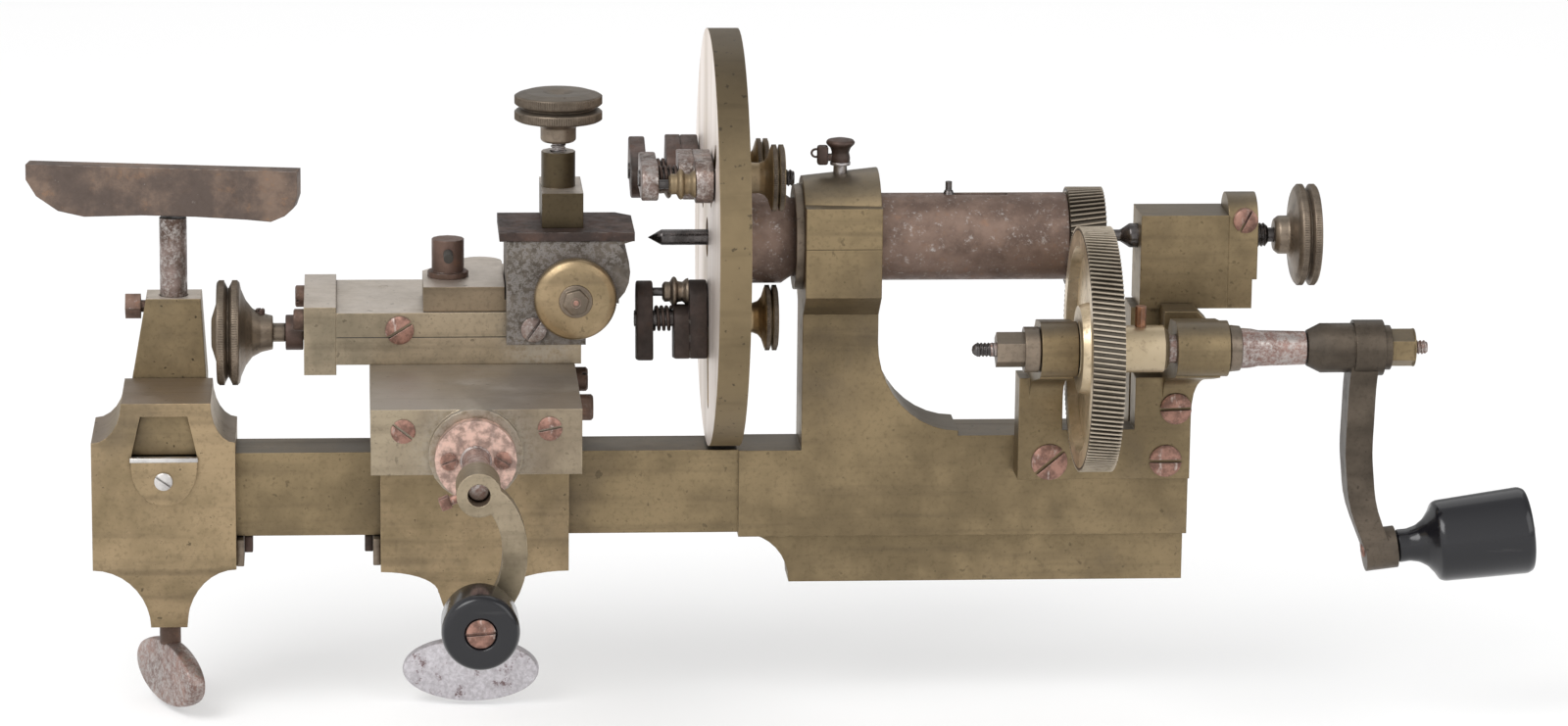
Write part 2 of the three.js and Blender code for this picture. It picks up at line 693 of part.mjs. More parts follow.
// A disc with slanted teeth, as one twisted ring of points with two flat faces.
function gearDisc(count, pitchRadius, from, to, shift, phase) {
  const pitchAngle = (2 * Math.PI) / count;
  const tip = pitchRadius + teeth.addendum;
  const root = pitchRadius - teeth.dedendum;
  const twist = shift / pitchRadius;
  const ring = [];
  for (let i = 0; i < count; i += 1) {
    const middle = phase + i * pitchAngle;
    ring.push(
      [middle - (toothRootShare * pitchAngle) / 2, root],
      [middle - (toothTopShare * pitchAngle) / 2, tip],
    );
    ring.push(
      [middle + (toothTopShare * pitchAngle) / 2, tip],
      [middle + (toothRootShare * pitchAngle) / 2, root],
    );
  }
  const points = [];
  [[from, -twist / 2], [to, twist / 2]].forEach(([x, turn]) => {
    ring.forEach(
      ([angle, radius]) => points.push(x, radius * Math.cos(angle + turn), radius * Math.sin(angle + turn)),
    );
    points.push(x, 0, 0);
  });
  const size = ring.length;
  const index = [];
  for (let i = 0; i < size; i += 1) {
    const next = (i + 1) % size;
    index.push(i, next, size + 1 + next, i, size + 1 + next, size + 1 + i);
    index.push(size, next, i, 2 * size + 1, size + 1 + i, size + 1 + next);
  }
  const geometry = new THREE.BufferGeometry();
  geometry.setAttribute('position', new THREE.BufferAttribute(new Float32Array(points), 3));
  geometry.setIndex(index);
  geometry.setAttribute('normal', geometry.attributes.position.clone());
  geometry.setAttribute('uv', geometry.attributes.position.clone());
  return geometry;
}

const centreDistance = Math.hypot(axis.crankFront, axis.spindle - axis.crank);
const toothModule = (2 * centreDistance) / (teeth.wheel + teeth.pinion);
const wheelPitch = (toothModule * teeth.wheel) / 2;
const pinionPitch = (toothModule * teeth.pinion) / 2;
// The direction from the crank's axis to the spindle's, as an angle in the Y, Z plane.
const meshAngle = Math.atan2(axis.spindle - axis.crank, axis.crankFront);

function pinionGear() {
  const width = pinion.right - pinion.left;
  const wheelWidth = wheel.right - wheel.left;
  const shift = (-teeth.helixShift * width) / wheelWidth;
  const middleOff = ((pinion.left + pinion.right) / 2 - (wheel.left + wheel.right) / 2) / wheelWidth;
  const phase = meshAngle + Math.PI + Math.PI / teeth.pinion - (teeth.helixShift * middleOff) / pinionPitch;
  const geometry = gearDisc(teeth.pinion, pinionPitch, pinion.left, pinion.right, shift, phase);
  geometry.translate(0, 0, axis.spindle);
  const bore = rodX(
    pinion.left - gap.overrun, pinion.right + gap.overrun, spindle.seat + gap.fit, 0, axis.spindle,
  );
  return cut(solid(geometry), bore);
}

function driveWheel() {
  const geometry = gearDisc(teeth.wheel, wheelPitch, wheel.left, wheel.right, teeth.helixShift, meshAngle);
  geometry.translate(0, -axis.crankFront, axis.crank);
  const dish = turnedX([
    [wheel.left - gap.overrun, wheel.dishInner],
    [wheel.left + wheel.dishDepth, wheel.dishInner + wheel.chamfer],
    [wheel.left + wheel.dishDepth, wheel.dishOuter - wheel.chamfer],
    [wheel.left - gap.overrun, wheel.dishOuter],
    [wheel.left - gap.overrun, wheel.dishInner],
  ], -axis.crankFront, axis.crank);
  const hub = turnedX([
    [wheel.hubLeft, 0], [wheel.hubLeft, wheel.leftHub - wheel.chamfer],
    [wheel.hubLeft + wheel.chamfer, wheel.leftHub],
    [wheel.right - gap.overrun, wheel.leftHub], [wheel.right - gap.overrun, wheel.rightHub],
    [wheel.hubRight - wheel.chamfer, wheel.rightHub], [wheel.hubRight, wheel.rightHub - wheel.chamfer],
    [wheel.hubRight, 0],
  ], -axis.crankFront, axis.crank);
  const bore = rodX(
    wheel.hubLeft - gap.overrun, wheel.hubRight + gap.overrun, shaft.journal + gap.fit, -axis.crankFront,
    axis.crank,
  );
  const low = axis.crank + wheel.rightHub - wheelPin.seatDepth - gap.fit;
  const pinHole = rodZ(
    low, axis.crank + wheelPin.height, wheelPin.radius + gap.fit, wheelPin.x, -axis.crankFront,
    sides.screw,
  );
  return cut(join(cut(solid(geometry), dish), hub), bore, pinHole);
}

function wheelPinBody() {
  const low = axis.crank + wheel.rightHub - wheelPin.seatDepth;
  return rodZ(
    low, axis.crank + wheelPin.height, wheelPin.radius, wheelPin.x, -axis.crankFront, sides.screw,
  );
}

function crankShaft() {
  return turnedX([
    [shaft.stubLeft, 0], [shaft.stubLeft, shaft.stub], [shaft.journalLeft, shaft.stub],
    [shaft.journalLeft, shaft.journal],
    [shaft.collarLeft, shaft.journal], [shaft.collarLeft, shaft.collar], [shaft.collarRight, shaft.collar],
    [shaft.flareRight, shaft.flare], [shaft.coneLeft - gap.rest, shaft.flare],
    [shaft.coneLeft - gap.rest, shaft.tang],
    [shaft.tangRight, shaft.tang], [shaft.tangRight, shaft.stub], [shaft.stubRight, shaft.stub],
    [shaft.stubRight, 0],
  ], -axis.crankFront, axis.crank);
}

// A nut with flats on a thread along X, with an optional round washer.
function flatNut(left, right, radius, washerRight, washer) {
  const bore = shaft.stub + gap.fit;
  const flats = rodX(left, right, radius, -axis.crankFront, axis.crank, 6);
  const ring = rodX(right - gap.rest, washerRight, washer, -axis.crankFront, axis.crank);
  const hole = rodX(left - gap.overrun, washerRight + gap.overrun, bore, -axis.crankFront, axis.crank);
  return cut(join(flats, ring), hole);
}

// How far up its boss a cheek's back slope meets it.
const bossShare = 0.8;

// The forked bracket on the bed's front face, with the crank shaft's two bosses.
function crankBracket() {
  const low = axis.crank - bracket.lowDown;
  const top = axis.crank - bracket.topDown;
  const cheekLow = axis.crank - bracket.cheekDown - bracket.boss;
  const slab = box(bracket.left, bracket.right, -bracket.front, -bracket.back, low, top);
  const bossAt = -axis.crankFront;
  const cheek = [
    [-bracket.back, cheekLow], [-bracket.front, cheekLow],
    ...arc(-bracket.front - bracket.boss, cheekLow, bracket.boss, bracket.boss, 0, 70, 5),
    [bossAt - bracket.boss / 3, axis.crank - bracket.boss],
    ...arc(bossAt, axis.crank, bracket.boss, bracket.boss, 250, 90, 10),
    [(bossAt - bracket.front) / 2, axis.crank + bracket.boss * bossShare], [-bracket.back, top],
  ];
  const leftCheek = slabX(cheek, bracket.boss1Left, bracket.slotLeft);
  const cheekStart = bracket.slotRight + bracket.boss;
  const bossLow = axis.crank - bracket.boss;
  const edgeTop = bossLow - bracket.flareEdge;
  const plateTop = axis.crank + bracket.plateUp;
  const plateSide = [
    [cheekStart, low], [bracket.right, low],
    ...arc(
      bracket.flareRight, edgeTop - bracket.flareDown, bracket.flareRight - bracket.right, bracket.flareDown,
      180, 90, 6,
    ),
  ];
  const flare = slabY([
    ...plateSide, [bracket.flareRight, axis.crank + bracket.boss], [cheekStart, axis.crank + bracket.boss],
  ], -bracket.back, bossAt - bracket.boss - gap.overrun);
  const rightPlate = slabY([
    ...plateSide, [bracket.flareRight, plateTop - bracket.corner],
    [bracket.flareRight - bracket.corner, plateTop], [cheekStart, plateTop],
  ], -bracket.front, -bracket.back);
  const rightCheek = slabX(cheek, cheekStart, bracket.flareRight).intersect(flare);
  const boss1 = rodX(bracket.boss1Left, bracket.boss1Right, bracket.boss, bossAt, axis.crank);
  const boss2 = rodX(bracket.boss2Left, bracket.boss2Right, bracket.boss, bossAt, axis.crank);
  const wheelSlot = box(
    bracket.slotLeft, bracket.slotRight, -bracket.front - gap.overrun, -bracket.back + gap.overrun,
    axis.crank - bracket.slotDown, top + gap.overrun,
  );
  const bore = rodX(
    bracket.left - gap.overrun, bracket.boss2Right + gap.overrun, running(shaft.journal), bossAt,
    axis.crank,
  );
  return cut(join(cut(slab, wheelSlot), rightPlate, leftCheek, rightCheek, boss1, boss2), bore);
}

// The arm's lower end is bent, so its pin and the handle point a little upwards.
function tilted(body) {
  const middle = (arm.lowLeft + arm.lowRight) / 2;
  const low = axis.crank - arm.throw;
  return body.translate([-middle, 0, -low]).rotate([0, -arm.tiltDegrees, 0]).translate([middle, 0, low]);
}

function crankArm() {
  const y = -axis.crankFront;
  const middle = (arm.eyeLeft + arm.eyeRight) / 2;
  const hub = turnedX([
    [arm.hubLeft, 0], [arm.hubLeft, arm.hubSmall], [arm.hubConeEnd, arm.hub], [arm.hubRight, arm.hub],
    [arm.hubRight, arm.eye], [arm.eyeRight, arm.eye], [arm.eyeRight, arm.ring],
    [arm.ringRight, arm.ring], [arm.ringRight, 0],
  ], y, axis.crank);
  const bows = Object.values(armBows);
  const curve = new THREE.CatmullRomCurve3(
    armShares.map((share, i) => new THREE.Vector3(middle + bows[i], 0, axis.crank - share * arm.throw)),
  );
  const line = curve.getPoints(20);
  const half = arm.thick / 2;
  const outline = [...line.map((p) => [p.x - half, p.z]), ...line.reverse().map((p) => [p.x + half, p.z])];
  const barBody = slabY(outline, y - arm.halfWidth, y + arm.halfWidth);
  const low = axis.crank - arm.throw;
  const lowEye = tilted(rodX(arm.lowLeft, arm.lowRight, arm.lowEye, y, low));
  const pin = tilted(rodX(arm.lowRight - gap.overrun, arm.pinRight, arm.pinRadius, y, low, sides.small));
  const bore = rodX(
    arm.hubLeft - gap.overrun, arm.ringRight + gap.overrun, shaft.tang + gap.fit, y, axis.crank,
  );
  return cut(join(hub, barBody, lowEye, pin), bore);
}

function crankHandle() {
  const bore = running(arm.pinRadius);
  const low = axis.crank - arm.throw;
  const body = turnedX([
    [handle.left, bore], [handle.left, handle.neck], [handle.neckRight, handle.neck],
    [(handle.neckRight + handle.flareRight) / 2, (handle.neck * 2 + handle.flare) / 3],
    [handle.flareRight, handle.flare], [handle.right - handle.round, handle.end],
    [handle.right, handle.end - handle.round], [handle.right, handle.recess],
    [handle.right - handle.recessDepth, handle.recess], [handle.right - handle.recessDepth, bore],
    [handle.left, bore],
  ], -axis.crankFront, low);
  return tilted(body);
}

function tailBlock() {
  const half = tail.depth / 2;
  const body = box(
    tail.left, tail.right, -half, half, axis.spindle - tail.lowDown, axis.spindle + tail.topUp,
  );
  return cut(body, tailBore());
}

function tailBore() {
  return rodX(
    tail.left - gap.overrun, tail.capRight + gap.overrun, tailScrew.radius + gap.run, 0, axis.spindle,
  );
}

function tailCap() {
  const half = tail.depth / 2;
  const low = axis.spindle - tail.lowDown;
  const outline = [
    [-half, low], [half, low], [half, axis.spindle + tail.humpUp],
    ...arc(0, axis.spindle + tail.humpUp, tail.humpRadius, tail.humpRadius, 0, 180, 14).slice(1, -1),
    [-half, axis.spindle + tail.humpUp],
  ];
  const body = slabX(outline, tail.right, tail.capRight);
  const step = box(
    tail.capRight - tail.capStep, tail.capRight + gap.overrun, -half - gap.overrun, half + gap.overrun,
    low - gap.overrun, axis.spindle - tail.capStepDown,
  );
  return cut(body, tailBore(), step);
}

function tailScrewBody() {
  return turnedX([
    [tailScrew.tip, 0], [tailScrew.tip + tailScrew.tipRadius, tailScrew.tipRadius],
    [tailScrew.coneStart, tailScrew.tipRadius],
    [tailScrew.coneStart + tailScrew.coneLength, tailScrew.radius], [tailScrew.threadEnd, tailScrew.radius],
    [tailScrew.threadEnd, tailScrew.neck], [tailScrew.neckEnd, tailScrew.neck], [tailScrew.neckEnd, 0],
  ], 0, axis.spindle);
}

function tailKnobBody() {
  const bore = running(tailScrew.neck);
  const rimStart = tailKnob.right - 2 * tailKnob.rim - tailKnob.grooveDepth / 2;
  const middle = (rimStart + tailKnob.right) / 2;
  const lip = tailKnob.grooveDepth / 2;
  return turnedX([
    [tailKnob.left, bore], [tailKnob.left, tailKnob.hub - lip], [tailKnob.hubEnd, tailKnob.hub],
    [rimStart - lip, tailKnob.hub + lip], [rimStart, tailKnob.radius - lip / 2],
    [rimStart + lip, tailKnob.radius],
    [middle - lip, tailKnob.radius], [middle, tailKnob.radius - tailKnob.grooveDepth],
    [middle + lip, tailKnob.radius],
    [tailKnob.right - lip, tailKnob.radius], [tailKnob.right, tailKnob.radius - lip], [tailKnob.right, 0],
    [tailScrew.neckEnd + gap.rest, 0], [tailScrew.neckEnd + gap.rest, bore], [tailKnob.left, bore],
  ], 0, axis.spindle);
}

// The lower part of a saddle, seen from the front, from its right side down round the nose to its left side.
function noseCurve(left, right, sideLow, low, centre, half) {
  const drop = sideLow - low;
  const rightRun = right - centre - half;
  const leftRun = centre - half - left;
  const points = [];
  const steps = 9;
  for (let i = 0; i <= steps; i += 1) {
    const angle = ((i / steps) * Math.PI) / 2;
    points.push([right - rightRun * Math.sin(angle), sideLow - drop * (1 - Math.cos(angle))]);
  }
  for (let i = steps; i >= 0; i -= 1) {
    const angle = ((i / steps) * Math.PI) / 2;
    points.push([left + leftRun * Math.sin(angle), sideLow - drop * (1 - Math.cos(angle))]);
  }
  return points;
}

// What a saddle keeps when its nose is drawn in from front and back too.
function noseTaper(s) {
  const half = s.depth / 2;
  const tip = half * s.noseDepthShare;
  const top = s.top + gap.overrun;
  const low = s.noseLow - gap.overrun;
  return slabX([
    [-half, top], [-half, s.sideLow], [-tip, low], [tip, low], [half, s.sideLow], [half, top],
  ], s.left - gap.overrun, s.right + gap.overrun);
}

function barPassage(left, right) {
  const half = bed.depth / 2 + gap.slide;
  return box(
    left - gap.overrun, right + gap.overrun, -half, half, bed.low - gap.slide, bed.top + gap.slide,
  );
}

function thumbHole(x, low) {
  return rodZ(low - gap.overrun, bed.low, running(thumb.stem, sides.small), x, 0, sides.small);
}

const restCentre = (restSaddle.topLeft + restSaddle.topRight) / 2;

function restSaddleBody() {
  const s = restSaddle;
  const rise = s.top - s.shoulder;
  const outline = [
    ...arc(s.left, s.top, s.topLeft - s.left, rise, 270, 360, 6),
    ...arc(s.right, s.top, s.right - s.topRight, rise, 180, 270, 6),
    ...noseCurve(s.left, s.right, s.sideLow, s.noseLow, restCentre, s.noseHalf),
  ];
  const half = s.depth / 2;
  const body = slabY(outline, -half, half).intersect(
    noseTaper(s),
  );
  return cut(body, barPassage(s.left, s.right), railSlot(half), thumbHole(restCentre, s.noseLow));
}

// The dovetail, narrow above, that the shoe runs in.
function railOutline(clearance) {
  return [
    [rail.centre - rail.lowHalf - clearance, shoe.low - clearance],
    [rail.centre + rail.lowHalf + clearance, shoe.low - clearance],
    [rail.centre + rail.topHalf + clearance, rail.top + clearance],
    [rail.centre - rail.topHalf - clearance, rail.top + clearance],
  ];
}

function railSlot(half) {
  const outline = railOutline(gap.slide);
  outline[0][1] = bed.top;
  outline[1][1] = bed.top;
  return slabY(outline, -half - gap.overrun, half + gap.overrun);
}

function restStopPlate() {
  const front = -restSaddle.depth / 2;
  const half = rail.lowHalf;
  const shoulder = stopPlate.top - stopPlate.thick;
  const outline = [
    [rail.centre - half, stopPlate.top], [rail.centre + half, stopPlate.top],
    ...arc(rail.centre, shoulder, half, shoulder - stopPlate.low, 0, -180, 12),
  ];
  return slabY(outline, front - stopPlate.thick, front);
}

// The dovetail bar with the socket tower behind the saddle.
function restShoe() {
  const barBody = slabY(railOutline(-gap.slide / 2), shoe.front, -shoe.back);
  const front = -shoe.towerFront;
  const back = -shoe.back;
  const low = [restCentre - shoe.footHalf, restCentre + shoe.footHalf, front, back, shoe.footTop];
  const high = [
    shoe.headCentre - shoe.headHalf, shoe.headCentre + shoe.headHalf, front + shoe.headInset,
    back - shoe.headInset, shoe.top,
  ];
  const tower = tapered(low, high);
  const foot = box(
    restCentre - shoe.footHalf, restCentre + shoe.footHalf, -shoe.towerFront, -shoe.back, shoe.low,
    shoe.footTop + gap.rest,
  );
  const bore = rodZ(
    shoe.boreLow, shoe.top + gap.overrun, running(post.radius, sides.small), shoe.headCentre, post.y,
    sides.small,
  );
  const screwBore = running(socketScrew.radius, sides.screw);
  const screwHole = rodX(
    socketScrew.headLeft, shoe.headCentre, screwBore, post.y, socketScrew.z, sides.screw,
  );
  return cut(join(barBody, foot, tower), bore, screwHole);
}

// A tower between two level rectangles, each given as x0, x1, y0, y1, z.
function tapered(low, top) {
  const points = [];
  [low, top].forEach(([x0, x1, y0, y1, z]) => points.push(x0, y0, z, x1, y0, z, x1, y1, z, x0, y1, z));
  const ends = [0, 2, 1, 0, 3, 2, 4, 5, 6, 4, 6, 7];
  const walls = [0, 1, 5, 0, 5, 4, 1, 2, 6, 1, 6, 5, 2, 3, 7, 2, 7, 6, 3, 0, 4, 3, 4, 7];
  const geometry = new THREE.BufferGeometry();
  geometry.setAttribute('position', new THREE.BufferAttribute(new Float32Array(points), 3));
  geometry.setIndex([...ends, ...walls]);
  geometry.setAttribute('normal', geometry.attributes.position.clone());
  geometry.setAttribute('uv', geometry.attributes.position.clone());
  return solid(geometry);
}

function socketScrewBody() {
  const half = socketScrew.head / 2;
  const side = half * Math.SQRT2;
  const headBody = slabX([
    [post.y - side, socketScrew.z], [post.y, socketScrew.z - side], [post.y + side, socketScrew.z],
    [post.y, socketScrew.z + side],
  ], socketScrew.headLeft, socketScrew.headRight);
  const shank = rodX(
    socketScrew.headRight - gap.rest, socketScrew.tip, socketScrew.radius, post.y, socketScrew.z,
    sides.screw,
  );
  return join(headBody, shank);
}

const bladeLow = blade.top - blade.height;

function restPost() {
  return rodZ(post.low, bladeLow, post.radius, shoe.headCentre, post.y, sides.small);
}

function restBlade() {
  const low = bladeEdgeShares.map(([along, down]) => [
    along < 0 ? along * blade.left : along * blade.right, -down * blade.height,
  ]);
  const outline = [[-blade.left, 0], ...low, [blade.right, 0]];
  const geometry = extrude(outline, blade.thick);
  geometry.rotateX(Math.PI / 2);
  geometry.translate(0, blade.thick / 2, 0);
  geometry.rotateZ(-THREE.MathUtils.degToRad(blade.turnDegrees));
  geometry.translate(shoe.headCentre, post.y, blade.top);
  const seat = rodZ(
    bladeLow - gap.overrun, bladeLow + gap.rest, post.radius + gap.rest, shoe.headCentre, post.y,
    sides.small,
  );
  return cut(solid(geometry), seat);
}

// A thumb screw below a saddle: an oval plate on a stem that presses on the bed's underside.
function thumbScrew(x, noseLow, turnDegrees) {
  const plateTop = thumb.centre + thumb.plateHeight / 2;
  const stem = rodZ(plateTop - gap.overrun, bed.low - gap.rest, thumb.stem, x, 0, sides.small);
  const neck = rodZ(plateTop - gap.overrun, noseLow - gap.rest, thumb.neck, x, 0, sides.small);
  const geometry = extrude(
    arc(0, 0, thumb.plateLength / 2, thumb.plateHeight / 2, 0, 345, 23), thumb.plateThick,
  );
  geometry.rotateX(Math.PI / 2);
  geometry.translate(0, thumb.plateThick / 2, 0);
  geometry.rotateZ(THREE.MathUtils.degToRad(turnDegrees));
  geometry.translate(x, 0, thumb.centre);
  return join(stem, neck, solid(geometry));
}

function slideSaddleBody() {
  const s = slideSaddle;
  const outline = [
    [s.left, s.top], [s.right, s.top],
    ...noseCurve(s.left, s.right, s.sideLow, s.noseStart, axis.crossX, s.noseFlat),
  ];
  const half = s.depth / 2;
  const upper = slabY(outline, -half, half);
  const nose = slabY([
    [axis.crossX - s.noseFlat, s.noseStart + gap.rest], [axis.crossX + s.noseFlat, s.noseStart + gap.rest],
    [axis.crossX + s.noseHalf, s.noseLow], [axis.crossX - s.noseHalf, s.noseLow],
  ], -half, half);
  const body = join(upper, nose).intersect(
    noseTaper(s),
  );
  const rib = box(
    axis.crossX - s.ribHalf, axis.crossX + s.ribHalf, -half, half, s.top - gap.overrun, s.ribTop,
  );
  const nutBore = rodY(
    -half - gap.overrun, half + gap.overrun, running(crossScrew.radius), axis.crossX, axis.cross,
  );
  return cut(join(body, rib), barPassage(s.left, s.right), thumbHole(axis.crossX, s.noseLow), nutBore);
}

// The cross slide: a long block with a channel below and a round boss on its front.
function crossSlideBody() {
  const c = crossSlide;
  const body = box(c.left, c.right, -c.front, -c.back, c.low, c.top);
  const half = slideSaddle.ribHalf + gap.slide;
  const groove = box(
    axis.crossX - half, axis.crossX + half, -c.front - gap.overrun, -c.back + gap.overrun,
    c.low - gap.overrun, slideSaddle.ribTop + gap.slide,
  );
  const boss = rodY(
    -c.front - c.bossThick, -c.front + gap.rest, c.boss, axis.crossX, axis.cross + c.bossUp,
  );
  const bore = rodY(
    -c.front - c.bossThick - gap.overrun, -c.front + gap.overrun, running(crossScrew.journal),
    axis.crossX, axis.cross,
  );
  return cut(join(cut(body, groove), boss), bore);
}

function retainingDisc() {
  const back = -crossSlide.front - crossSlide.bossThick - crossScrew.collarThick - gap.rest;
  const hole = running(crossScrew.journal);
  return turnedY([
    [back - disc.thick, hole], [back - disc.thick, disc.radius],
    [back + crossScrew.collarThick + gap.rest, disc.radius],
    [back + crossScrew.collarThick + gap.rest, running(crossScrew.collar)],
    [back, running(crossScrew.collar)], [back, hole], [back - disc.thick, hole],
  ], axis.crossX, axis.cross);
}

function crossScrewBody() {
  const bossFront = -crossSlide.front - crossSlide.bossThick;
  const collarBack = bossFront - gap.slide;
  const collarFront = collarBack - crossScrew.collarThick;
  const inner = -crossSlide.front + gap.overrun + gap.rest;
  return turnedY([
    [-crossScrew.front, 0], [-crossScrew.front, crossScrew.journal], [collarFront, crossScrew.journal],
    [collarFront, crossScrew.collar], [collarBack, crossScrew.collar], [collarBack, crossScrew.journal],
    [inner, crossScrew.journal], [inner, crossScrew.radius], [-crossScrew.back, crossScrew.radius],
    [-crossScrew.back, 0],
  ], axis.crossX, axis.cross);
}

// The small crank: a hub, a bowed arm and the pin that its handle turns on.
function crossCrank() {
  const x = axis.crossX;
  const z = axis.cross;
  const hub = rodY(-crossArm.front, -crossArm.back, crossArm.hub, x, z);
  const low = z - crossArm.throw;
  const front = -crossArm.front + crossArm.thick;
  const lowEye = rodY(front - crossArm.thick, front, crossArm.lowEye, x, low);
  const steps = 16;
  const outer = [];
  const inner = [];
  for (let i = 0; i <= steps; i += 1) {
    const angle = (Math.PI * i) / steps;
    const out = crossArm.bow * Math.sin(angle);
    const down = z - (crossArm.throw * (1 - Math.cos(angle))) / 2;
    const half = crossArm.width / 2;
    outer.push([x + out + half * Math.sin(angle), down + half * Math.cos(angle)]);
    inner.push([x + out - half * Math.sin(angle), down - half * Math.cos(angle)]);
  }
  const bow = slabY([...outer, ...inner.reverse()], front - crossArm.thick, front);
  const pin = rodY(
    -crossHandle.front + crossHandle.round, front - gap.rest, crossArm.pinRadius, x, low, sides.small,
  );
  const bore = rodY(
    -crossArm.front - gap.overrun, -crossArm.back + gap.overrun, crossScrew.journal + gap.fit, x, z,
  );
  return cut(join(hub, lowEye, bow, pin), bore);
}

function crossHandleBody() {
  const bore = running(crossArm.pinRadius);
  const h = crossHandle;
  return turnedY([
    [-h.front, bore], [-h.front, h.radius - h.round], [-h.front + h.round, h.radius],
    [-h.back - h.neckLength, h.radius],
    [-h.back, h.neck], [-h.back, bore], [-h.front, bore],
  ], axis.crossX, axis.cross - crossArm.throw);
}

// The top bar that the tool carriage runs on, with the channel for the feed screw.
function slideBar() {
  const body = box(bar.left, bar.right, -bar.front, -bar.back, bar.low, bar.top);
  const tunnel = box(
    bar.left - gap.overrun, bar.right + gap.overrun, feed.y - channel.half, feed.y + channel.half,
    bar.low - gap.overrun, channel.high,
  );
  const rearSlot = box(
    carriage.flapLeft - carriage.travel - gap.rest, bar.right + gap.overrun, feed.y,
    -bar.back + gap.overrun,
    bar.low - gap.overrun, channel.high,
  );
  return cut(body, tunnel, rearSlot);
}

function endPlateBody() {
  const body = box(endPlate.left, bar.left, -bar.front, -bar.back, endPlate.low, bar.top + endPlate.rise);
  const bore = rodX(
    endPlate.left - gap.overrun, bar.left + gap.overrun, running(feed.screw, sides.small), feed.y,
    feed.z, sides.small,
  );
  return cut(body, bore);
}

function feedScrew() {
  const lip = feed.groove / 2;
  const rimEnd = feed.left + feed.rimThick;
  const middle = (feed.left + rimEnd) / 2;
  const collarEnd = endPlate.left - gap.rest;
  const coneMiddle = (rimEnd + feed.coneEnd) / 2;
  return turnedX([
    [feed.left - feed.domeLength, 0], [feed.left - feed.domeLength, feed.coneSmall],
    [feed.left, feed.coneSmall + lip],
    [feed.left, feed.radius - lip / 2], [feed.left + lip / 2, feed.radius], [middle - lip, feed.radius],
    [middle, feed.radius - feed.groove], [middle + lip, feed.radius], [rimEnd - lip / 2, feed.radius],
    [rimEnd, feed.radius - lip / 2],
    [(rimEnd * 2 + coneMiddle) / 3, (feed.radius + feed.coneSmall) / 2 + lip],
    [coneMiddle, feed.coneSmall + feed.groove], [feed.coneEnd, feed.coneSmall], [feed.coneEnd, feed.neck],
    [feed.collarLeft, feed.neck], [feed.collarLeft, feed.collar], [collarEnd, feed.collar],
    [collarEnd, feed.screw],
    [feed.right, feed.screw], [feed.right, 0],
  ], feed.y, feed.z);
}

// The plate that carries the tool head along the bar, with its rear flap and feed nut.
function toolCarriage() {
  const c = carriage;
  const low = bar.top + gap.slide;
  const round = c.roundHalf;
  const plateBody = slabZ([
    [c.plateLeft, -c.front], [c.plateRight, -c.front],
    ...arc(c.plateRight - round, -c.roundBack - round, round, round, 0, 150, 10), [c.plateLeft, c.front],
  ], low, c.plateTop);
  const base = box(c.plateRight - gap.overrun, c.baseRight, -c.front, -c.back, low, c.baseTop);
  const flapFront = -bar.back + gap.rest;
  const nutLow = bar.low + gap.rest;
  const flap = box(c.flapLeft, c.flapRight, flapFront, -c.back, nutLow, c.baseTop);
  const nutArm = box(
    c.nutLeft, c.nutRight, feed.y - channel.half + gap.rest, flapFront + gap.overrun, nutLow,
    channel.high - gap.rest,
  );
  const thread = rodX(
    c.nutLeft - gap.overrun, c.nutRight + gap.overrun, running(feed.screw, sides.small), feed.y, feed.z,
    sides.small,
  );
  const stud = rodZ(
    low - gap.overrun, c.plateTop + gap.overrun, tommy.shank + gap.fit, tommy.x, -tommy.y, sides.small,
  );
  return cut(join(plateBody, base, flap, nutArm), thread, stud);
}

function toolHead() {
  const h = head;
  const low = carriage.baseTop;
  const outline = [
    [h.left, low], [h.right - h.waist, low],
    ...arc(h.right - h.waist * 2, (low + h.top) / 2, h.waist * 2, (h.top - low) / 2, -60, 60, 6),
    [h.right + h.waist / 3, h.top], [h.left, h.top],
  ];
  const body = slabY(outline, -h.front, -h.back);
  const apron = box(h.left, h.apronRight, -h.front, -bar.front - gap.rest, h.apronLow, low + gap.rest);
  const stud = rodY(
    -h.front - gap.overrun, -h.front + frontKnob.studDepth, running(frontKnob.stud, sides.small),
    frontKnob.x, frontKnob.z, sides.small,
  );
  return cut(join(body, apron), stud);
}

function clampPlateBody() {
  const p = clampPlate;
  const low = head.top;
  return slabZ([
    [p.left, -p.front], [p.right, -p.front], [p.right, -p.back - p.chamfer],
    [p.right - p.chamfer, -p.back], [p.left, -p.back],
  ], low, low + p.thick);
}

function toolPostBody() {
  const low = head.top + clampPlate.thick;
  const body = box(toolPost.left, toolPost.right, -toolPost.front, -toolPost.back, low, toolPost.top);
  const boss = rodZ(
    toolPost.top - gap.rest, toolPost.bossTop, toolPost.boss, topKnob.x, topKnob.y, sides.small,
  );
  const bore = rodZ(
    low - gap.overrun, toolPost.bossTop + gap.overrun, running(toolPost.bore, sides.small), topKnob.x,
    topKnob.y, sides.small,
  );
  return cut(join(body, boss), bore);
}

function topKnobBody() {
  const k = topKnob;
  const middle = (k.discLow + k.top) / 2;
  const lip = k.groove / 2;
  return turnedZ([
    [k.low, 0], [k.low, k.screw], [k.hubLow, k.screw], [k.hubLow, k.hub], [k.discLow - lip, k.hub],
    [k.discLow, k.hub + k.groove], [k.discLow + lip, k.radius - lip / 2], [k.discLow + k.groove, k.radius],
    [middle - lip / 2, k.radius], [middle, k.radius - k.groove], [middle + lip / 2, k.radius],
    [k.top - k.groove, k.radius], [k.top - lip, k.radius - lip / 2], [k.top - lip, k.hub],
    [k.top - k.groove, 0],
  ], k.x, k.y);
}

